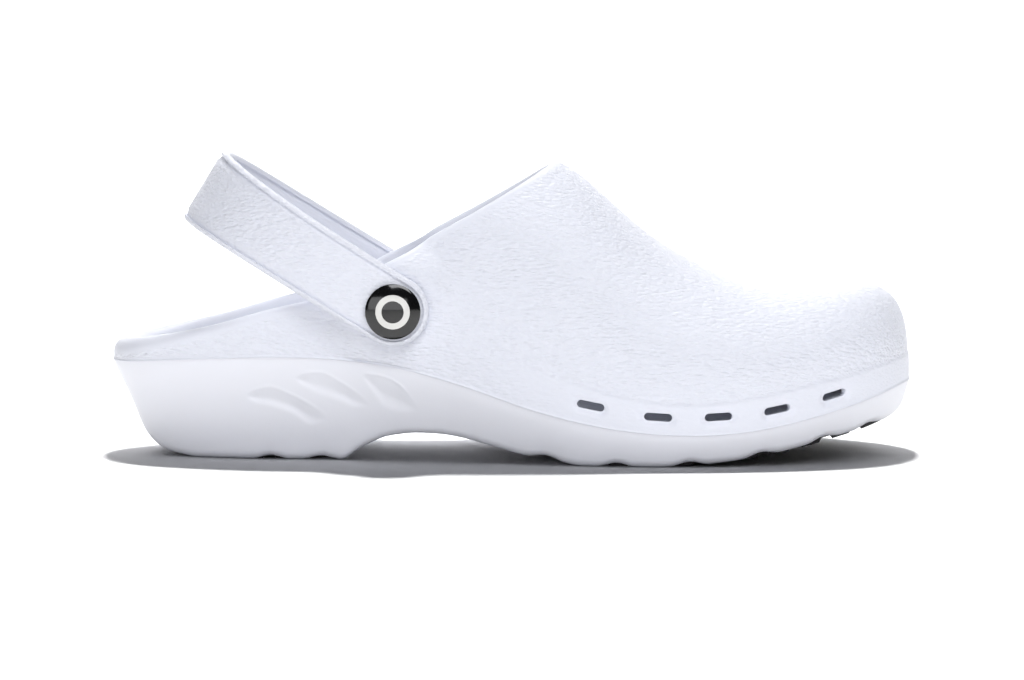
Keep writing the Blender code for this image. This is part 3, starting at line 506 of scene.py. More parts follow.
def column_turns(first, last, stretch):
    """Angles from one share of the length to another, an equal walk apart along the outline, and
    closer together by the boost of a stretch inside it."""
    turn = np.linspace(angle_of(first), angle_of(last), 4000)
    x, y = outline(turn)
    along = share_of(turn)
    ramp = smoothstep((along - stretch.first) / STRETCH_BLEND)
    ramp = ramp * smoothstep((stretch.last - along) / STRETCH_BLEND)
    walk = np.hypot(np.diff(x), np.diff(y)) * (1 + stretch.boost * (ramp[1:] + ramp[:-1]) / 2)
    total = np.concatenate([[0.0], np.cumsum(walk)])
    steps = max(2, round(total[-1] / COLUMN_SPACING))
    return np.interp(np.linspace(0, total[-1], steps + 1), total, turn)


def both_sides(half):
    """Angles of a full ring from those of the outer half, mirrored back along the inner half."""
    return np.concatenate([half, 2 * math.pi - half[-2:0:-1]])[:, None]


def pair_rows(index, row, first=0):
    """Lets each column of the inner side share its point in one row with its outer partner."""
    count = len(index)
    outer = np.arange(max(first, 1), count // 2)
    index[count - outer, row] = index[outer, row]


def numbered(shape, first=0):
    """Numbers of a grid's points, from the first one on."""
    return first + np.arange(shape[0] * shape[1]).reshape(shape[:2])


def strips(index, closed=True):
    """Quads between neighbouring columns of an index grid."""
    following = np.roll(index, -1, axis=0) if closed else index[1:]
    current = index if closed else index[:-1]
    quads = np.stack([current[:, :-1], following[:, :-1], following[:, 1:], current[:, 1:]], -1)
    return quads.reshape(-1, 4)


def corner_normals(points, faces):
    """Unit normals at the corners of quads: the mean of the cross products of their diagonals."""
    first = points[faces[:, 2]] - points[faces[:, 0]]
    second = points[faces[:, 3]] - points[faces[:, 1]]
    flat = np.cross(first, second)
    total = np.zeros_like(points)
    for corner in range(4):
        np.add.at(total, faces[:, corner], flat)
    size = np.linalg.norm(total, axis=1, keepdims=True)
    return total / np.maximum(size, 1e-12)


def add_piece(name, points, faces, recipe, masks=None, sharp=SHARP):
    """Piece from points and quads in the frame of the last: quads that lost corners become triangles,
    unused points are dropped, faces point out, and each mask becomes a point attribute."""
    corners = np.asarray(faces)
    doubled = corners == np.roll(corners, -1, axis=1)
    quads = corners[~doubled.any(axis=1)]
    odd = corners[doubled.sum(axis=1) == 1]
    keep = ~doubled[doubled.sum(axis=1) == 1]
    triangles = odd[keep].reshape(-1, 3)
    used, packed = np.unique(np.concatenate([quads.ravel(), triangles.ravel()]), return_inverse=True)
    starts = np.concatenate([np.arange(len(quads)) * 4, len(quads) * 4 + np.arange(len(triangles)) * 3])
    totals = np.concatenate([np.full(len(quads), 4), np.full(len(triangles), 3)])
    mesh = bpy.data.meshes.new(name)
    mesh.vertices.add(len(used))
    mesh.vertices.foreach_set("co", (points[used] + TO_WORLD).astype(np.float32).ravel())
    mesh.loops.add(len(packed))
    mesh.loops.foreach_set("vertex_index", packed.astype(np.int32).ravel())
    mesh.polygons.add(len(starts))
    mesh.polygons.foreach_set("loop_start", starts.astype(np.int32))
    mesh.polygons.foreach_set("loop_total", totals.astype(np.int32))
    mesh.update(calc_edges=True)
    mesh.validate()
    for key, values in (masks or {}).items():
        layer = mesh.attributes.new(key, "FLOAT", "POINT")
        layer.data.foreach_set("value", values[used].astype(np.float32))
    if signed_volume(mesh) < 0:
        mesh.flip_normals()
    mesh.shade_smooth()
    mesh.set_sharp_from_angle(angle=sharp)
    piece = bpy.data.objects.new(name, mesh)
    bpy.context.scene.collection.objects.link(piece)
    if recipe:
        mesh.materials.append(recipe)
    return piece


def signed_volume(mesh):
    """Volume inside a closed mesh, below 0 when its faces point inwards: a sum over its triangles."""
    mesh.calc_loop_triangles()
    places = np.zeros(len(mesh.vertices) * 3, np.float32)
    mesh.vertices.foreach_get("co", places)
    corners = np.zeros(len(mesh.loop_triangles) * 3, np.int32)
    mesh.loop_triangles.foreach_get("vertices", corners)
    a, b, c = places.reshape(-1, 3)[corners.reshape(-1, 3)].transpose(1, 0, 2)
    return float((np.cross(a, b) * c).sum() / 6)


def add_rings(name, rings, turn, recipe):
    """Piece from rings of (x, y, z) round the outline, shut along the centre line at both ends."""
    grid = np.stack([np.concatenate([ring[k] + 0 * turn for ring in rings], axis=1) for k in range(3)], -1)
    index = numbered(grid.shape)
    pair_rows(index, 0)
    pair_rows(index, -1)
    return add_piece(name, grid.reshape(-1, 3), strips(index), recipe)


def cut(piece, cutters):
    """Cuts closed cutters out of a closed piece, applies the result and removes the cutters."""
    for cutter in cutters:
        modifier = piece.modifiers.new("cut", "BOOLEAN")
        modifier.operation = "DIFFERENCE"
        modifier.solver = "MANIFOLD"
        modifier.object = cutter
    bpy.context.view_layer.update()
    solid = piece.evaluated_get(bpy.context.evaluated_depsgraph_get())
    whole = bpy.data.meshes.new_from_object(solid)
    piece.modifiers.clear()
    old = piece.data
    piece.data = whole
    bpy.data.meshes.remove(old)
    whole.shade_smooth()
    whole.set_sharp_from_angle(angle=SHARP)
    for cutter in cutters:
        bpy.data.objects.remove(cutter, do_unlink=True)


def settle(piece, nodes):
    """Hides the nodes that a finished piece stands for, and ties the piece to the body."""
    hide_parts(*nodes)
    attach(piece, "root")


def add_turned(name, profile, side, recipe=None, steps=96):
    """Body turned about the pivot's axis: each (radius, distance outwards) pair goes round a circle."""
    pairs = np.array(profile)
    angle = np.linspace(0, 2 * math.pi, steps, endpoint=False)[:, None]
    radius, depth = pairs[:, 0], pairs[:, 1]
    x = PIVOT_ALONG + radius * np.cos(angle)
    z = PIVOT_HEIGHT + radius * np.sin(angle)
    y = np.broadcast_to(side * depth, x.shape)
    points = np.stack([x, y, z], -1).reshape(-1, 3)
    index = np.arange(len(points)).reshape(x.shape)
    if radius[0] == 0:
        index[:, 0] = index[0, 0]
        index[:, -1] = index[0, -1]
    else:
        index = np.concatenate([index, index[:, :1]], axis=1)
    return add_piece(name, points, strips(index), recipe, sharp=TURNED_SHARP)


def arc_profile(centre, radius, first, last, steps):
    """Pairs along an arc of a profile, from one angle in degrees to another."""
    turned = np.radians(np.linspace(first, last, steps))
    return [(centre[0] + radius * math.cos(t), centre[1] + radius * math.sin(t)) for t in turned]


def upper_columns():
    """Angles of the upper's columns, and the number of the one at the collar's peak."""
    behind = column_turns(0.0, PEAK_SHARE, VENT_STRETCH)
    ahead = column_turns(PEAK_SHARE, 1.0, VENT_STRETCH)
    return both_sides(np.concatenate([behind, ahead[1:]])), len(behind) - 1


def upper_arcs(turn, is_open):
    """Arcs of the upper's rows: bead, band, crease and then equal steps to the collar or the ridge."""
    rim = wall_thickness(share_of(turn) * LENGTH) / 2
    top = np.where(is_open, topline_height(turn) - rim, TOE_HEIGHT)
    end = np.where(is_open, arc_at(turn, top), math.pi / 2)
    bead = np.array(BEAD_HEIGHTS) + 0 * turn
    low = bead[:, -1:]
    half = np.minimum(0.75 * CREASE_WIDTH, 0.2 * (top - low))
    crease = np.clip(read("band", turn), low + 1.5 * half, top - 1.5 * half)
    band = np.linspace(0, 1, BAND_ROWS + 1)[1:-1]
    middle = low + (crease - half - low) * band
    fold = crease + half * np.linspace(-1, 1, CREASE_ROWS)
    low_arcs = arc_at(turn, np.concatenate([bead, middle, fold], axis=1))
    vault = np.linspace(0, 1, VAULT_ROWS + 1)[1:]
    return np.concatenate([low_arcs, low_arcs[:, -1:] + (end - low_arcs[:, -1:]) * vault], axis=1)


def slot_place(row):
    """Middle of a vent slot on the upper's skin, with its directions along, up and outwards."""
    turn, reach = angle_of(row.along), 0.02
    height = row.rise * SLOT_HEIGHT
    centre = skin(turn, arc_at(turn, height))
    ahead, behind = turn + reach, turn - reach
    forward = skin(ahead, arc_at(ahead, height)) - skin(behind, arc_at(behind, height))
    forward /= np.linalg.norm(forward)
    higher = skin(turn, arc_at(turn, height + SLOT_HEIGHT / 4)) - centre
    outward = np.cross(forward, higher)
    outward /= np.linalg.norm(outward)
    return centre, forward, np.cross(outward, forward), outward


def slot_dish(points, looks):
    """Depth of the dish round the vent slots: deepest at each stadium's edge and deeper below it."""
    depth = np.zeros(points.shape[:-1])
    straight = looks.slot_length / 2 - looks.slot_height / 2
    for row in SLOTS:
        centre, forward, upward, _ = slot_place(row)
        along, high = (points - centre) @ forward, (points - centre) @ upward
        away = np.hypot(np.maximum(np.abs(along) - straight, 0), high) - looks.slot_height / 2
        below = DISH_ABOVE + (1 - DISH_ABOVE) * smoothstep(0.5 - high / looks.slot_height)
        fade = smoothstep(1 - away / (looks.dish_width * (0.5 + 0.5 * below)))
        near = np.linalg.norm(points - centre, axis=-1) < 2 * looks.slot_length
        depth = np.maximum(depth, np.where(near, looks.dish_depth * below * fade, 0))
    return depth


def slot_cutters(looks):
    """Stadium-shaped prisms that run square through the wall at the vent slots."""
    turned = np.radians(np.linspace(-90, 90, 13))
    radius = looks.slot_height / 2
    straight = looks.slot_length / 2 - radius
    u = np.concatenate([straight + radius * np.cos(turned), -straight - radius * np.cos(turned)])
    v = np.concatenate([radius * np.sin(turned), -radius * np.sin(turned)])
    points, faces, rim = [], [], len(u)
    for number, row in enumerate(SLOTS):
        centre, forward, upward, outward = slot_place(row)
        loop = centre + u[:, None] * forward + v[:, None] * upward
        depths = np.array([-3 * VAMP_WALL, 2 * VAMP_WALL])
        block = loop[:, None] + depths[:, None] * outward
        middle = centre + depths[:, None] * outward
        first = number * (2 * rim + 2)
        index = first + np.arange(2 * rim).reshape(rim, 2)
        ends = np.full((rim, 1), first + 2 * rim)
        grid = np.concatenate([ends, index, ends + 1], axis=1)
        points.append(np.concatenate([block.reshape(-1, 3), middle]))
        faces.append(strips(grid))
    return add_piece("slot_cutters", np.concatenate(points), np.concatenate(faces), None)


def bore_cutter(side, face):
    """Cylinder that runs through strap and wall for a rivet's post."""
    radius = POST_DIAMETER / 2 + GAP
    low, high = face - BOSS_WALL - BASE_THICKNESS - BOSS_WALL, face + 2 * STRAP_THICKNESS
    profile = [(0.0, low), (radius, low), (radius, high), (0.0, high)]
    return add_turned("bore_cutter", profile, side, steps=32)


def bore_cutters():
    """Cutters of the bores on both sides."""
    return [bore_cutter(-1.0, BOSS_OUTER), bore_cutter(1.0, BOSS_INNER)]


def bead_relief(turn, shape, looks):
    """Height of the parting bead over the skin: a crest low in its rows, that fades out at the boss."""
    high = np.array(BEAD_HEIGHTS) / BEAD_HEIGHTS[-1]
    crest = smoothstep(high / BEAD_CREST) * smoothstep((1 - high) / (1 - BEAD_CREST))
    at_boss = smoothstep(1.5 - np.abs(share_of(turn) - PIVOT_ALONG / LENGTH) / BEAD_BREAK)
    relief = np.zeros(shape)
    relief[:, :len(BEAD_HEIGHTS)] = looks.bead_height * crest * (1 - at_boss)
    return relief


def grain_mask(outer, turn, is_open, dish):
    """Share of the leather grain: none on the bead, the dishes and the rim, and less in the band."""
    mask = np.where(outer[..., 2] < read("seam", turn) + GRAIN_OFF_SEAM, 0.0, 1.0)
    in_band = smoothstep((share_of(turn) - BAND_FROM) / BAND_FADE)
    above = smoothstep((outer[..., 2] - read("seam", turn) - read("band", turn)) / GRAIN_OFF_CREASE + 0.5)
    mask = mask * (1 - BAND_SMOOTHNESS * in_band * (1 - above)) * (1 - smoothstep(dish / GRAIN_OFF_DISH))
    to_rim = np.where(is_open, outer[:, -1:, 2] - outer[..., 2], 1.0)
    return mask * smoothstep(to_rim / GRAIN_OFF_RIM)


def make_upper(looks, recipe):
    """Upper: a smooth outer skin with bead and dishes, an inner skin one wall further in along the
    normals, and a half-round rim carried along the collar, all wound the same way round."""
    turn, peak = upper_columns()
    count = len(turn)
    number = np.arange(count)[:, None]
    is_open = (number < peak) | (number > count - peak)
    arcs = upper_arcs(turn, is_open)
    outer = skin(turn, arcs)
    index = numbered(arcs.shape)
    pair_rows(index, -1, peak)
    normal = corner_normals(outer.reshape(-1, 3), strips(index)).reshape(outer.shape)
    closed = np.arange(peak, count // 2)
    normal[count - closed, -1] = normal[closed, -1]
    inner_rows = [0] + list(range(len(BEAD_HEIGHTS) + 2, arcs.shape[1] - 1, 3)) + [arcs.shape[1] - 1]
    inner = (outer - normal * wall_thickness(outer[..., 0])[..., None])[:, inner_rows]
    base_x, base_y = inset_outline(turn, wall_thickness(share_of(turn) * LENGTH))
    inner[:, 0] = np.concatenate([base_x, base_y, seam_height(base_x)], axis=1)
    dish = np.where(turn < math.pi, slot_dish(outer, looks), 0)
    grain = grain_mask(outer, turn, is_open, dish)
    outer = outer + normal * (bead_relief(turn, arcs.shape, looks) - dish)[..., None]
    boss(outer[:, len(BEAD_HEIGHTS):], turn, 0.0)
    boss(inner[:, 1:], turn, BOSS_WALL)
    inner_index = numbered(inner.shape, arcs.size)
    pair_rows(inner_index, -1, peak)
    collar = np.flatnonzero(((number <= peak) | (number > count - peak))[:, 0])
    rim = rim_points(outer[collar, -1], inner[collar, -1], outer[collar, -2])
    rim_index = numbered(rim.shape, arcs.size + inner_index.size)
    collar_index = np.concatenate([index[collar, -1:], rim_index, inner_index[collar, -1:]], axis=1)
    foot_index = np.concatenate([inner_index[:, :1], index[:, :1]], axis=1)
    grids = (index, inner_index[:, ::-1], collar_index, foot_index)
    faces = np.concatenate([strips(grid) for grid in grids])
    points = np.concatenate([grid.reshape(-1, 3) for grid in (outer, inner, rim)])
    mask = np.concatenate([grain.ravel(), np.zeros(inner_index.size), np.zeros(rim_index.size)])
    upper = add_piece("upper_shell", points, faces, recipe, {"grain": mask})
    cut(upper, [slot_cutters(looks)] + bore_cutters())
    settle(upper, ["upper"])


def rim_points(outside, inside, before):
    """Half circles from the outer skin's edge to the inner skin's, bulging the way the skin runs."""
    tangent = np.roll(outside, -1, axis=0) - np.roll(outside, 1, axis=0)
    across = (outside - inside) / 2
    onward = np.cross(across, tangent)
    onward *= np.sign(np.einsum("ij,ij->i", onward, outside - before))[:, None]
    onward *= np.linalg.norm(across, axis=1, keepdims=True) / np.linalg.norm(onward, axis=1, keepdims=True)
    turned = np.linspace(0, math.pi, RIM_ROWS + 1)[1:-1, None]
    middle = (outside + inside)[:, None] / 2
    return middle + across[:, None] * np.cos(turned) + onward[:, None] * np.sin(turned)


def scallop(x):
    """Share of the scallop's depth at a place along the sole: 1 in a groove, 0 on a lobe."""
    away = np.min([np.abs(x - along * LENGTH) for along in SCALLOPS], axis=0)
    return smoothstep(1 - away / (SCALLOP_REACH / 2))


def blade_depth(x, z, looks):
    """How far the wall sinks in at the blade facets: evenly below a blade's upper edge, so that the
    facet looks down a little, and back again at its lower edge. A fine lip runs above."""
    depth = np.zeros(x.shape)
    along = x / LENGTH
    for rows in BLADES:
        knots = [row.along for row in rows]
        upper = monotone(knots, [row.upper for row in rows], along) * SEAM_HEIGHT
        lower = monotone(knots, [row.lower for row in rows], along) * SEAM_HEIGHT
        ends = smoothstep((along - knots[0]) / BLADE_HEAD) * smoothstep((knots[-1] - along) / BLADE_TAIL)
        below = (upper - z) / np.maximum(upper - lower, BLADE_LEAST)
        facet = np.clip(below / looks.blade_slope, 0, 1) * smoothstep((BLADE_END - below) / BLADE_FADE)
        lip = np.exp(-((z - upper - looks.blade_edge / 2) / (looks.blade_edge / 2)) ** 2)
        inside = (along > knots[0]) & (along < knots[-1])
        sunk = ends * (looks.blade_depth * facet - looks.blade_lip * lip)
        depth = np.where(inside & (np.abs(sunk) > np.abs(depth)), sunk, depth)
    return depth


def make_sole(looks, recipe):
    """Sole: tapered wall, rounded lower edge, scalloped and arched underside, flat top under the upper.
    Its corner is a Bezier arc of second order from wall to underside."""
    turn = both_sides(column_turns(0.0, 1.0, BLADE_STRETCH))
    x0, y0 = outline(turn)
    spine_x, spine_y = spine(turn)
    taper = read("taper", turn)
    groove = scallop(x0) * SCALLOP_DEPTH
    low_x, low_y = inset_outline(turn, taper)
    low_z = sole_height(low_x) + groove
    top = seam_height(x0)
    rows = []
    for share in SOLE_TOP_SHARES:
        x = x0 + (spine_x - x0) * share
        y = y0 + (spine_y - y0) * share
        rows.append((x, y, seam_height(x)))
    corner = looks.sole_corner / (top - low_z)
    for k in range(SOLE_ROWS + 1):
        drop = (1 - corner) * k / SOLE_ROWS
        inset = monotone([w.drop for w in SOLE_WALL] + [1.0], [w.inset for w in SOLE_WALL] + [1.0], drop)
        z = top + (low_z - groove - top) * drop + groove * drop ** 4
        x, _ = inset_outline(turn, taper * inset)
        sunk = blade_depth(x, z, looks)
        x, y = inset_outline(turn, taper * inset + sunk)
        rows.append((x, y, z))
    wall_end = rows[-1]
    away = np.hypot(spine_x - low_x, spine_y - low_y)
    under = looks.sole_corner / away
    under_x, under_y = low_x + (spine_x - low_x) * under, low_y + (spine_y - low_y) * under
    under_end = (under_x, under_y, sole_height(under_x) + groove)
    for k in range(1, CORNER_ROWS):
        s = k / CORNER_ROWS
        rows.append(tuple((1 - s) ** 2 * a + 2 * s * (1 - s) * b + s * s * c
                          for a, b, c in zip(wall_end, (low_x, low_y, low_z), under_end)))
    for k in range(UNDER_ROWS):
        share = under + (1 - under) * (k / (UNDER_ROWS - 1))
        x = low_x + (spine_x - low_x) * share
        y = low_y + (spine_y - low_y) * share
        rows.append((x, y, sole_height(x) + groove * smoothstep(1 - share / GROOVE_REACH)))
    sole = add_rings("sole_block", rows, turn, recipe)
    cut(sole, [tread_grid(tread, GAP, None) for tread in TREADS])
    settle(sole, ["sole"])


def make_insole(looks, recipe):
    """Footbed: top face with an eased edge, side and underside, all drawn in from the outline."""
    turn = both_sides(column_turns(0.0, 1.0, EVEN_STRETCH))
    spine_x, spine_y = spine(turn)
    edge = looks.insole_edge
    quarter = np.linspace(0, math.pi / 2, 6)
    rows = [(share, 0.0, 1.0) for share in INSOLE_SHARES]
    eased = edge / INSOLE_THICKNESS
    rows += [(0.0, edge * (1 - math.sin(t)), 1 - eased * (1 - math.cos(t))) for t in quarter]
    rows += [(share, 0.0, 0.0) for share in INSOLE_UNDER_SHARES]
    rings = []
    for share, drawn_in, level in rows:
        inset = wall_thickness(share_of(turn) * LENGTH) + INSOLE_CLEARANCE + drawn_in
        x, y = inset_outline(turn, inset)
        x = x + (spine_x - x) * share
        y = y + (spine_y - y) * share
        rings.append((x, y, seam_height(x) + GAP + INSOLE_THICKNESS * level))
    settle(add_rings("footbed", rings, turn, recipe), ["insole"])


def half_width(x, side):
    """Distance of the seam's outline from the centre plane, on side -1 (outer) or +1 (inner)."""
    angle = angle_of(x / LENGTH)
    return side * read("y", angle if side < 0 else 2 * math.pi - angle)


def tread_grid(tread, grown, recipe):
    """Rubber insert, or with some growth the cutter of its pocket: a closed loop of top and underside
    carried along the sole. Its underside follows the sole's with rounded cross lugs."""
    first, last = tread.first * LENGTH - grown, tread.last * LENGTH + grown
    lugs = max(1, round((last - first) / (TREAD_LUG_LENGTH + TREAD_LUG_SPACE)))
    step = (last - first) / lugs
    spacing = POCKET_SPACING if grown else TREAD_SPACING
    x = np.linspace(first, last, round((last - first) / spacing))[:, None]
    centre = (x - first) / (last - first) * 2 - 1
    rounding = (1 - np.abs(centre * TREAD_FULL) ** TREAD_ENDS) ** TREAD_CORNERS
    margin = read("taper", angle_of(x / LENGTH)) + TREAD_MARGIN - grown
    outer = -(half_width(x, -1.0) - margin) * rounding
    inner = (half_width(x, 1.0) - margin) * rounding
    across = np.linspace(0, 1, 9)
    y = outer + (inner - outer) * across
    spread = smoothstep((x / LENGTH - PROUD_FIRST_SHARE) / (PROUD_LAST_SHARE - PROUD_FIRST_SHARE))
    away = np.abs((x - first + step / 2) % step - step / 2)
    groove = TREAD_LUG_DEPTH * smoothstep((TREAD_LUG_SPACE / 2 + TREAD_RAMP - away) / TREAD_RAMP)
    inside = (x > first + step / 2) & (x < last - step / 2)
    low = sole_height(x) - TREAD_PROUD * spread + np.where(inside, groove, 0)
    if grown:
        low = sole_height(x) - TREAD_THICKNESS
    top = sole_height(x) + TREAD_THICKNESS + grown
    over = np.stack(np.broadcast_arrays(x, y, top), -1)
    under = np.stack(np.broadcast_arrays(x, y, low), -1)
    middle = over * (1 - TREAD_SHARES) + under * TREAD_SHARES
    loop = np.concatenate([over, middle[:, :, -1].transpose(1, 0, 2), under[:, ::-1],
                           middle[::-1, :, 0].transpose(1, 0, 2)], axis=1)
    count = loop.shape[1]
    index = numbered(loop.shape)
    middles = np.concatenate([loop[:1].mean(axis=1), loop[-1:].mean(axis=1)])
    points = np.concatenate([loop.reshape(-1, 3), middles])
    tube = strips(np.concatenate([index, index[:, :1]], axis=1), closed=False)
    caps = []
    for ring, hub in ((index[0], index.size), (index[-1][::-1], index.size + 1)):
        hubs = np.full(count, hub)
        caps.append(np.stack([ring, np.roll(ring, -1), hubs, hubs], -1))
    return add_piece(tread.name + "_rubber", points, np.concatenate([tube] + caps), recipe)


def make_treads(recipe):
    """Both rubber inserts with their cross lugs."""
    for tread in TREADS:
        settle(tread_grid(tread, 0.0, recipe), [tread.name])


def strap_path():
    """Middle line of the strap in its own plane: straight along the clog's sides, then a superellipse
    round the heel. Gives walked length, reach, distance from the centre plane and tangent."""
    outer_y = -(BOSS_OUTER + GAP + STRAP_THICKNESS / 2)
    inner_y = BOSS_INNER + GAP + STRAP_THICKNESS / 2
    back = STRAP_REACH - STRAP_THICKNESS / 2
    squareness = 2 / STRAP_SQUARENESS
    turned = np.linspace(0, math.pi, STRAP_TURNS)
    swing = np.cos(turned)
    reach = STRAP_STRAIGHT + (back - STRAP_STRAIGHT) * np.sin(turned) ** squareness
    side = -np.sign(swing) * np.abs(swing) ** squareness
    straight = np.linspace(-STRAP_END_WIDTH / 2, STRAP_STRAIGHT, STRAP_LEADS)[:-1]
    reach = np.concatenate([straight, reach, straight[::-1]])
    side = np.concatenate([-np.ones(len(straight)), side, np.ones(len(straight))])
    y = (inner_y - outer_y) / 2 * side + (inner_y + outer_y) / 2
    walked = np.concatenate([[0.0], np.cumsum(np.hypot(np.diff(reach), np.diff(y)))])
    even = np.linspace(0, walked[-1], STRAP_PLACES)
    reach, y = np.interp(even, walked, reach), np.interp(even, walked, y)
    tangent = np.stack([np.gradient(reach), np.gradient(y)], -1)
    window = np.array([1, 3, 6, 8, 6, 3, 1]) / 28
    padded = np.pad(tangent, ((3, 3), (0, 0)), mode="edge")
    tangent = np.stack([np.convolve(padded[:, k], window, "valid") for k in range(2)], -1)
    return even, reach, y, tangent / np.linalg.norm(tangent, axis=1, keepdims=True)


def make_strap(looks, recipe):
    """Heel strap: rings from the middle of its outer face to its edge, then mirrored to the inner face,
    carried along the middle line and square to it."""
    walk, reach, y, tangent = strap_path()
    end_radius = STRAP_END_WIDTH / 2
    total = walk[-1]
    round_end = end_radius * (1 - np.cos(np.radians(np.linspace(0, 90, STRAP_END_COLUMNS))[:-1]))
    straight = np.linspace(end_radius, total - end_radius, STRAP_SIDE_COLUMNS)
    s = np.concatenate([round_end, straight, total - round_end[::-1]])
    hub = np.clip(s, end_radius, total - end_radius)
    grow = np.clip(np.interp(s, walk, reach) / STRAP_REACH, 0, 1) ** 3
    half = (STRAP_END_WIDTH + (STRAP_BACK_WIDTH - STRAP_END_WIDTH) * grow) / 2
    chord = np.sqrt(np.clip(half ** 2 - (s - hub) ** 2, 0, None))
    s, hub, half = (np.concatenate([half_loop, half_loop[-2:0:-1]]) for half_loop in (s, hub, half))
    w = np.concatenate([-chord, chord[-2:0:-1]])
    share, out = strap_rings(half, looks.strap_edge)
    s_grid = hub[:, None] + (s - hub)[:, None] * share
    w_grid = w[:, None] * share
    place_reach, place_y = np.interp(s_grid, walk, reach), np.interp(s_grid, walk, y)
    way_reach, way_y = np.interp(s_grid, walk, tangent[:, 0]), np.interp(s_grid, walk, tangent[:, 1])
    along = place_reach + way_y * out
    y_grid = place_y - way_reach * out
    x_grid = PIVOT_ALONG - math.cos(STRAP_SLOPE) * along + math.sin(STRAP_SLOPE) * w_grid
    z_grid = PIVOT_HEIGHT + math.sin(STRAP_SLOPE) * along + math.cos(STRAP_SLOPE) * w_grid
    points = np.stack([x_grid, y_grid, z_grid], -1)
    index = numbered(share.shape)
    pair_rows(index, 0)
    pair_rows(index, -1)
    mask = np.broadcast_to(np.where(out > 0.3 * STRAP_THICKNESS, 1.0, 0.0), share.shape).ravel()
    strap = add_piece("heel_strap_band", points.reshape(-1, 3), strips(index), recipe, {"grain": mask})
    cut(strap, bore_cutters())
    settle(strap, ["heel_strap"])


def strap_rings(half, edge):
    """Share of the half width at each ring, for each column, and each ring's distance outwards from the
    middle: even steps over the face, then the rings of the edge, from the outline back to the face."""
    thickness = STRAP_THICKNESS / 2
    turned = np.linspace(0, math.pi / 2, STRAP_EDGE_ROWS)[::-1]
    shares = [share * (1 - edge / half) for share in STRAP_FACE_SHARES]
    shares += [1 - edge * (1 - math.sin(t)) / half for t in turned]
    heights = [thickness] * len(STRAP_FACE_SHARES)
    heights += [thickness - edge * (1 - math.cos(t)) for t in turned]
    heights += [-height for height in heights[::-1]]
    return np.stack(shares + shares[::-1], -1), np.array(heights)[None, :]


def make_rivets(looks, cap_recipe, ring_recipe):
    """Domed caps with their posts, the plain ring inlaid in each dome, and the washers inside."""
    cap, post, washer = CAP_DIAMETER / 2, POST_DIAMETER / 2, BASE_DIAMETER / 2
    for name, side, face in (("outer", -1.0, BOSS_OUTER), ("inner", 1.0, BOSS_INNER)):
        foot = face + 2 * GAP + STRAP_THICKNESS
        base_top = face - BOSS_WALL - GAP
        base_low = base_top - BASE_THICKNESS
        sphere = (cap * cap + CAP_DOME ** 2) / (2 * CAP_DOME)
        middle = foot + CAP_RIM + CAP_DOME - sphere
        rim_angle = math.degrees(math.acos(cap / sphere))
        dome = arc_profile((0.0, middle), sphere, rim_angle + DOME_START, 90, 40)
        rounding = arc_profile((cap - looks.cap_edge, foot + looks.cap_edge), looks.cap_edge, -90, 0, 7)
        profile = [(0.0, base_low), (post, base_low), (post, foot)] + rounding
        profile += [(cap, foot + CAP_RIM - DOME_EASE)] + dome[:-1] + [(0.0, middle + sphere)]
        piece = add_turned("rivet_cap_" + name + "_dome", profile, side, cap_recipe)
        settle(piece, ["rivet_cap_" + name])
        edges = (looks.ring_outer, looks.ring_inner)
        ring_out, ring_in = (math.degrees(math.acos(edge * cap / sphere)) for edge in edges)
        lifted = arc_profile((0.0, middle), sphere + looks.ring_lift, ring_out, ring_in, 12)
        sunk = arc_profile((0.0, middle), sphere - RING_SINK, ring_in, ring_out, 12)
        ring = add_turned("rivet_ring_" + name, lifted + sunk, side, ring_recipe)
        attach(ring, "root")
        bore = post + GAP
        bevel = arc_profile((washer - BASE_BEVEL, base_low + BASE_BEVEL), BASE_BEVEL, -90, 0, 6)
        washer_profile = [(bore, base_low)] + bevel + [(washer, base_top), (bore, base_top)]
        base = add_turned("rivet_washer_" + name, washer_profile, side, cap_recipe)
        settle(base, ["rivet_base_" + name])


def node(tree, kind, links=None, **settings):
    """Node of a kind. Settings name its properties or, as numbers, its inputs; links feed inputs."""
    made = tree.nodes.new(kind)
    for key, value in settings.items():
        if key.startswith("in_"):
            made.inputs[int(key[3:])].default_value = value
        else:
            setattr(made, key, value)
    for key, source in (links or {}).items():
        tree.links.new(source, made.inputs[key])
    return made


def principled(name, colour, roughness, ior):
    """Material with its shader and Object coordinates, which the caller adds its pattern to."""
    made = bpy.data.materials.new(name)
    made.use_nodes = True
    tree = made.node_tree
    shader = tree.nodes["Principled BSDF"]
    shader.inputs["Base Color"].default_value = colour
    shader.inputs["Roughness"].default_value = roughness
    shader.inputs["IOR"].default_value = ior
    place = node(tree, "ShaderNodeTexCoord").outputs["Object"]
    return made, tree, shader, place


def noise(tree, place, waves, detail):
    """Noise texture with so many waves to a metre."""
    return node(tree, "ShaderNodeTexNoise", {"Vector": place}, in_2=waves, in_3=detail)


def add_bump(tree, shader, height, depth):
    """Relief of a depth in metres, from heights of 0 to 1."""
    bump = node(tree, "ShaderNodeBump", {"Height": height}, in_1=depth)
    tree.links.new(bump.outputs[0], shader.inputs["Normal"])


def vary_gloss(tree, shader, source, low, high):
    """Roughness that goes from low to high with the middle range of a texture."""
    tone = node(tree, "ShaderNodeMapRange", {0: source}, in_1=0.35, in_2=0.65, in_3=low, in_4=high)
    tree.links.new(tone.outputs[0], shader.inputs["Roughness"])


def add_glow(shader, looks):
    """Light that goes a few millimetres into foam and comes out softened."""
    shader.inputs["Subsurface Weight"].default_value = looks.foam_glow
    shader.inputs["Subsurface Radius"].default_value = FOAM_REACH
    shader.inputs["Subsurface Scale"].default_value = 0.6


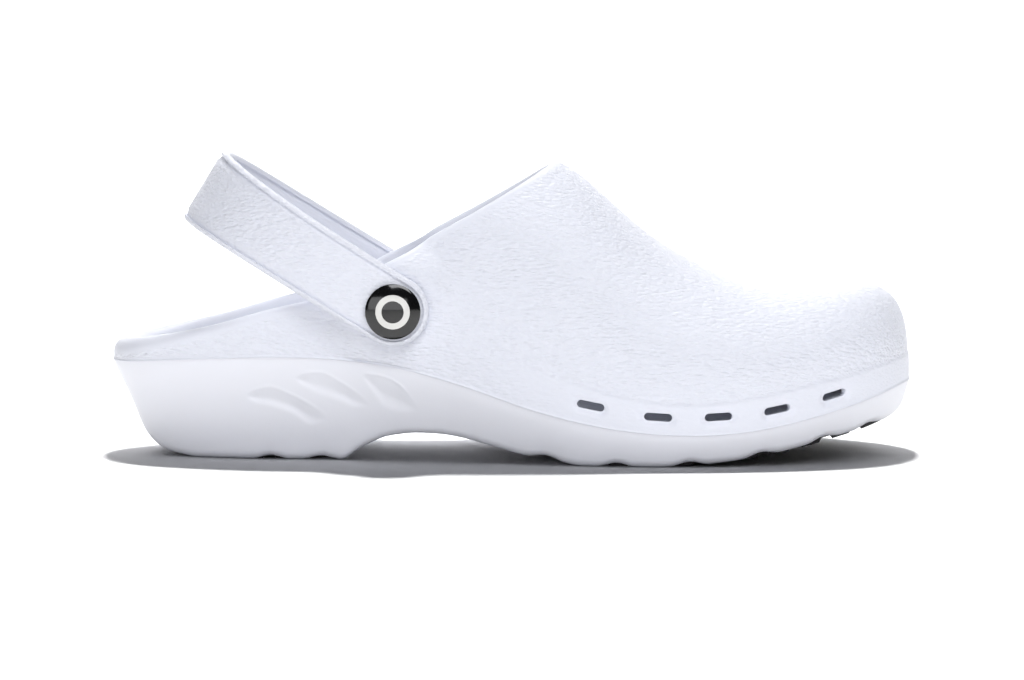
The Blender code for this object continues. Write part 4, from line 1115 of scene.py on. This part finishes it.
def pebbled_foam(looks):
    """EVA foam moulded against a leather-grained tool: soft white, satin, with pebbles and wrinkles."""
    made, tree, shader, place = principled("eva_foam_pebbled", looks.foam_colour, 0.46, FOAM_IOR)
    stretched = node(tree, "ShaderNodeMapping", {0: place}, in_3=GRAIN_STRETCH).outputs[0]
    warp = noise(tree, stretched, 420.0, 2.0).outputs["Color"]
    bent = node(tree, "ShaderNodeVectorMath", {0: warp}, operation="SCALE", in_3=0.0011).outputs[0]
    moved = node(tree, "ShaderNodeVectorMath", {0: stretched, 1: bent}, operation="ADD").outputs[0]
    cells = node(tree, "ShaderNodeTexVoronoi", {"Vector": moved}, feature="SMOOTH_F1",
                 in_2=1 / looks.grain_width, in_6=0.35).outputs["Distance"]
    wrinkle = noise(tree, stretched, 0.55 / looks.grain_width, 3.0).outputs[0]
    fine = noise(tree, place, 3 / looks.grain_width, 2.0).outputs[0]
    height = node(tree, "ShaderNodeMath", {0: cells}, operation="MULTIPLY", in_1=-0.9).outputs[0]
    for source, weight in ((wrinkle, 0.9), (fine, 0.18)):
        height = node(tree, "ShaderNodeMath", {0: source, 2: height}, operation="MULTIPLY_ADD",
                      in_1=weight).outputs[0]
    mask = node(tree, "ShaderNodeAttribute", attribute_name="grain").outputs["Fac"]
    masked = node(tree, "ShaderNodeMath", {0: height, 1: mask}, operation="MULTIPLY").outputs[0]
    add_bump(tree, shader, masked, looks.grain_depth)
    vary_gloss(tree, shader, wrinkle, 0.40, 0.54)
    add_glow(shader, looks)
    return made


def smooth_foam(looks, name, colour, roughness):
    """EVA foam moulded against a polished tool: satin white with a faint cloudiness and fine pores."""
    made, tree, shader, place = principled(name, colour, roughness, FOAM_IOR)
    cloud = noise(tree, place, 90.0, 3.0).outputs[0]
    add_bump(tree, shader, noise(tree, place, 1600.0, 2.0).outputs[0], 0.00002)
    vary_gloss(tree, shader, cloud, roughness - 0.05, roughness + 0.05)
    add_glow(shader, looks)
    return made


def tread_rubber(looks):
    """Carbon-filled outsole rubber: near black and dull, with a fine moulded grain."""
    made, tree, shader, place = principled("outsole_rubber", looks.rubber_colour, 0.7, 1.52)
    add_bump(tree, shader, noise(tree, place, 1400.0, 3.0).outputs[0], 0.00008)
    return made


def cap_plastic(name, colour):
    """Injection-moulded ABS under a clear lacquer: deep colour, mirror-like, with barely any waviness."""
    made, tree, shader, place = principled(name, colour, 0.12, 1.53)
    shader.inputs["Coat Weight"].default_value = 0.6
    shader.inputs["Coat Roughness"].default_value = 0.03
    add_bump(tree, shader, noise(tree, place, 180.0, 1.0).outputs[0], 0.000006)
    return made


def length_setting(name, description, default):
    """Setting in metres for the panel, shown to a hundredth of a millimetre."""
    return bpy.props.FloatProperty(
        name=name, description=description, default=default, subtype="DISTANCE", unit="LENGTH", precision=5)


def colour_setting(name, description, code):
    """Colour setting for the panel, from an sRGB hex code."""
    return bpy.props.FloatVectorProperty(
        name=name, description=description, default=hex_colour(code), subtype="COLOR", size=4, min=0, max=1)


def share_setting(name, description, default, least=0.0):
    """Setting for the panel between a least share and 1."""
    return bpy.props.FloatProperty(
        name=name, description=description, default=default, subtype="FACTOR", min=least, max=1)


def power_setting(name, description, default):
    """Light setting in watts for the panel."""
    return bpy.props.FloatProperty(name=name, description=description, default=default, unit="POWER")


class ClogLooks(bpy.types.PropertyGroup):
    """Sizes and colours of the clog's surfaces."""

    foam_colour: colour_setting("Foam", "Colour of the upper and the strap", "E8EAF3")
    sole_colour: colour_setting("Sole", "Colour of the sole's foam", "F0F1F8")
    footbed_colour: colour_setting("Footbed", "Colour of the footbed's foam", "ECEEF4")
    rubber_colour: colour_setting("Treads", "Colour of the rubber inserts", "1E1E20")
    cap_colour: colour_setting("Caps", "Colour of the rivet caps and washers", "060607")
    ring_colour: colour_setting("Cap ring", "Colour of the plain ring in each cap", "E2E1DD")
    foam_glow: share_setting("Foam glow", "Share of the light that scatters inside the foam", 0.15)
    grain_width: length_setting("Grain width", "Width of one pebble of the leather grain", 0.0012)
    grain_depth: length_setting("Grain depth", "Height of the pebbles over their creases", 0.00045)
    bead_height: length_setting("Bead height", "How far the parting bead stands out", 0.00035)
    slot_length: length_setting("Vent length", "Length of each vent slot", 0.0096)
    slot_height: length_setting("Vent height", "Height of each vent slot", 0.0027)
    dish_depth: length_setting("Dish depth", "Depth of the soft dish round each vent slot", 0.0012)
    dish_width: length_setting("Dish width", "Width of the soft dish round each vent slot", 0.0024)
    blade_depth: length_setting("Blade depth", "Depth of the blade facets at their upper edge", 0.0006)
    blade_edge: length_setting("Blade edge", "Width of the fine lip at a blade's upper edge", 0.0008)
    blade_slope: share_setting("Blade slope", "Share of a blade's height over which it sinks in", 0.6, 0.1)
    blade_lip: length_setting("Blade lip", "Height of the fine lip over a blade's upper edge", 0.0002)
    sole_corner: length_setting("Sole corner", "Reach of the rounding at the sole's lower edge", 0.0025)
    insole_edge: length_setting("Footbed edge", "Radius of the footbed's upper edge", 0.0015)
    strap_edge: length_setting("Strap edge", "Radius of the strap's round edges", 0.0017)
    cap_edge: length_setting("Cap edge", "Radius of the lower edge of each rivet cap", 0.0003)
    ring_outer: share_setting("Ring outside", "Outer radius of the cap's ring as a share of the cap's", 0.62)
    ring_inner: share_setting("Ring inside", "Inner radius of the cap's ring as a share of the cap's", 0.40)
    ring_lift: length_setting("Ring lift", "How far the cap's ring stands proud of the dome", 0.00004)


class StageLooks(bpy.types.PropertyGroup):
    """Floor, lights and camera."""

    floor_colour: colour_setting("Floor", "Colour of the floor and the sweep behind it", "F8F8F8")
    back_power: power_setting("Back light", "Power of the light that casts the shadow", 120.0)
    rim_power: power_setting("Rim light", "Power of the softbox behind the clog", 45.0)
    top_power: power_setting("Top light", "Power of the softbox overhead", 14.5)
    front_power: power_setting("Front light", "Power of the softbox at the front", 8.5)
    wall_power: power_setting("Wall light", "Power of the softbox on the paper behind", 40.0)
    sky: bpy.props.FloatProperty(
        name="Sky", description="Strength of the even light from all round", default=0.05)
    camera_height: bpy.props.FloatProperty(
        name="Camera height", description="Angle of the camera over the floor",
        subtype="ANGLE", unit="ROTATION", default=math.radians(5.5))
    camera_distance: bpy.props.FloatProperty(
        name="Camera distance", description="Distance from the camera to the clog's middle plane",
        subtype="DISTANCE", unit="LENGTH", default=1.0)
    focal_length: bpy.props.FloatProperty(
        name="Lens", description="Focal length of the camera in millimetres", unit="CAMERA", default=98.09)


def add_light(name, place, target, size, power, colour, lit=None, shading=None):
    """Rectangular softbox at a place, facing a target. It lights everything or one collection, and
    everything or one collection shades it."""
    data = bpy.data.lights.new(name, "AREA")
    data.shape = "RECTANGLE"
    data.size, data.size_y = size
    data.energy = power
    data.color = colour
    light = bpy.data.objects.new(name, data)
    bpy.context.scene.collection.objects.link(light)
    light.location = place
    light.rotation_euler = (Vector(place) - Vector(target)).to_track_quat("Z", "Y").to_euler()
    light.light_linking.receiver_collection = lit
    light.light_linking.blocker_collection = shading


def make_stage(looks):
    """White paper sweep: flat under the clog, then a quarter circle up to a wall behind it."""
    reach, turn_up, wall = 3.0, 0.8, 2.6
    bend = np.radians(np.linspace(0, 90, 16))
    depth = np.concatenate([[-reach], 1.6 + turn_up * np.sin(bend)])
    height = np.concatenate([[0.0], turn_up * (1 - np.cos(bend))])
    depth, height = np.append(depth, depth[-1]), np.append(height, wall)
    x = np.array([-reach, reach])[:, None] + 0 * depth
    points = np.stack([x, np.broadcast_to(depth, x.shape), np.broadcast_to(height, x.shape)], -1)
    mesh = bpy.data.meshes.new("paper_sweep")
    mesh.from_pydata(points.reshape(-1, 3).tolist(), [],
                     strips(np.arange(x.size).reshape(x.shape), closed=False).tolist())
    mesh.shade_smooth()
    floor = bpy.data.objects.new("paper_sweep", mesh)
    bpy.context.scene.collection.objects.link(floor)
    paper, tree, shader, place = principled("matt_paper", looks.floor_colour, 0.9, 1.45)
    fibre = node(tree, "ShaderNodeTexNoise", {"Vector": place}, in_2=900.0, in_3=2.0)
    bump = node(tree, "ShaderNodeBump", {"Height": fibre.outputs[0]}, in_1=0.00001)
    tree.links.new(bump.outputs[0], shader.inputs["Normal"])
    mesh.materials.append(paper)
    world = bpy.data.worlds.new("studio")
    world.use_nodes = True
    backdrop = world.node_tree.nodes["Background"]
    backdrop.inputs["Color"].default_value = hex_colour("F4F6FF")
    backdrop.inputs["Strength"].default_value = looks.sky
    bpy.context.scene.world = world
    bpy.context.scene.view_settings.view_transform = "Standard"
    pieces, low, paper_only = (bpy.data.collections.new(name) for name in ("clog", "low_pieces", "paper"))
    paper_only.objects.link(floor)
    for piece in bpy.context.scene.objects:
        if piece.type == "MESH" and piece is not floor:
            pieces.objects.link(piece)
            if "strap" not in piece.name:
                low.objects.link(piece)
    white, cool = (1.0, 1.0, 1.0), (0.965, 0.975, 1.0)
    middle, back = (0.0, 0.0, 0.05), (0.0, 1.2, 2.75)
    add_light("softbox_back", back, middle, (0.25, 0.25), looks.back_power, white, paper_only, low)
    add_light("softbox_rim", back, middle, (0.9, 0.5), looks.rim_power, white, pieces)
    add_light("softbox_top", (0.3, -0.95, 1.25), middle, (1.2, 0.8), looks.top_power, cool, pieces)
    add_light("softbox_front", (-0.4, -1.9, 0.36), middle, (2.4, 0.7), looks.front_power, cool, pieces)
    add_light("softbox_wall", (0.0, 0.9, 1.9), (0.0, 2.4, 0.9), (2.4, 0.6), looks.wall_power, white)


def make_camera(looks):
    """Camera on the outer side, square to the clog's length and a little above it."""
    data = bpy.data.cameras.new("camera")
    data.sensor_width = 36
    data.lens = looks.focal_length
    camera = bpy.data.objects.new("camera", data)
    bpy.context.scene.collection.objects.link(camera)
    back = Vector((0, -math.cos(looks.camera_height), math.sin(looks.camera_height)))
    aim = Vector((0.0, TO_WORLD[1], CAMERA_AIM_HEIGHT))
    camera.location = aim + back * looks.camera_distance
    camera.rotation_euler = back.to_track_quat("Z", "Y").to_euler()
    bpy.context.scene.camera = camera


class CLOG_OT_upper(bpy.types.Operator):
    """Make the pebbled foam upper with its vents and collar"""

    bl_idname = "clog.upper"
    bl_label = "Upper"

    def execute(self, context):
        looks = context.scene.clog_looks
        make_upper(looks, pebbled_foam(looks))
        return {"FINISHED"}


class CLOG_OT_sole(bpy.types.Operator):
    """Make the smooth foam sole"""

    bl_idname = "clog.sole"
    bl_label = "Sole"

    def execute(self, context):
        looks = context.scene.clog_looks
        make_sole(looks, smooth_foam(looks, "eva_foam_smooth", looks.sole_colour, 0.42))
        return {"FINISHED"}


class CLOG_OT_insole(bpy.types.Operator):
    """Make the footbed inside the upper"""

    bl_idname = "clog.insole"
    bl_label = "Footbed"

    def execute(self, context):
        looks = context.scene.clog_looks
        make_insole(looks, smooth_foam(looks, "eva_foam_footbed", looks.footbed_colour, 0.6))
        return {"FINISHED"}


class CLOG_OT_treads(bpy.types.Operator):
    """Make the rubber inserts in the sole"""

    bl_idname = "clog.treads"
    bl_label = "Treads"

    def execute(self, context):
        looks = context.scene.clog_looks
        make_treads(tread_rubber(looks))
        return {"FINISHED"}


class CLOG_OT_strap(bpy.types.Operator):
    """Make the heel strap"""

    bl_idname = "clog.strap"
    bl_label = "Heel strap"

    def execute(self, context):
        looks = context.scene.clog_looks
        make_strap(looks, bpy.data.materials.get("eva_foam_pebbled") or pebbled_foam(looks))
        return {"FINISHED"}


class CLOG_OT_rivets(bpy.types.Operator):
    """Make the rivet caps with their rings, and the washers"""

    bl_idname = "clog.rivets"
    bl_label = "Rivets"

    def execute(self, context):
        looks = context.scene.clog_looks
        black = cap_plastic("abs_black_lacquered", looks.cap_colour)
        make_rivets(looks, black, cap_plastic("abs_white_lacquered", looks.ring_colour))
        return {"FINISHED"}


class CLOG_OT_stage(bpy.types.Operator):
    """Make the paper sweep, the lights and the camera"""

    bl_idname = "clog.stage"
    bl_label = "Stage"

    def execute(self, context):
        looks = context.scene.clog_stage
        make_stage(looks)
        make_camera(looks)
        return {"FINISHED"}


class CLOG_PT_panel(bpy.types.Panel):
    """Lists the clog's sizes, colours and pieces"""

    bl_idname = "CLOG_PT_panel"
    bl_label = "Foam clog"
    bl_space_type = "VIEW_3D"
    bl_region_type = "UI"
    bl_category = "Clog"

    def draw(self, context):
        for group in (context.scene.clog_looks, context.scene.clog_stage):
            box = self.layout.box()
            for name in group.bl_rna.properties.keys():
                if name not in ("rna_type", "name"):
                    box.prop(group, name)
        for operator in OPERATORS:
            self.layout.operator(operator.bl_idname)


OPERATORS = [CLOG_OT_upper, CLOG_OT_sole, CLOG_OT_insole, CLOG_OT_treads, CLOG_OT_strap, CLOG_OT_rivets,
             CLOG_OT_stage]
CLASSES = [ClogLooks, StageLooks] + OPERATORS + [CLOG_PT_panel]


def register():
    for each in CLASSES:
        bpy.utils.register_class(each)
    bpy.types.Scene.clog_looks = bpy.props.PointerProperty(type=ClogLooks)
    bpy.types.Scene.clog_stage = bpy.props.PointerProperty(type=StageLooks)


def unregister():
    del bpy.types.Scene.clog_stage
    del bpy.types.Scene.clog_looks
    for each in reversed(CLASSES):
        bpy.utils.unregister_class(each)


def main():
    register()
    bpy.ops.clog.upper()
    bpy.ops.clog.sole()
    bpy.ops.clog.insole()
    bpy.ops.clog.treads()
    bpy.ops.clog.strap()
    bpy.ops.clog.rivets()
    bpy.ops.clog.stage()


if __name__ == "__main__":
    main()
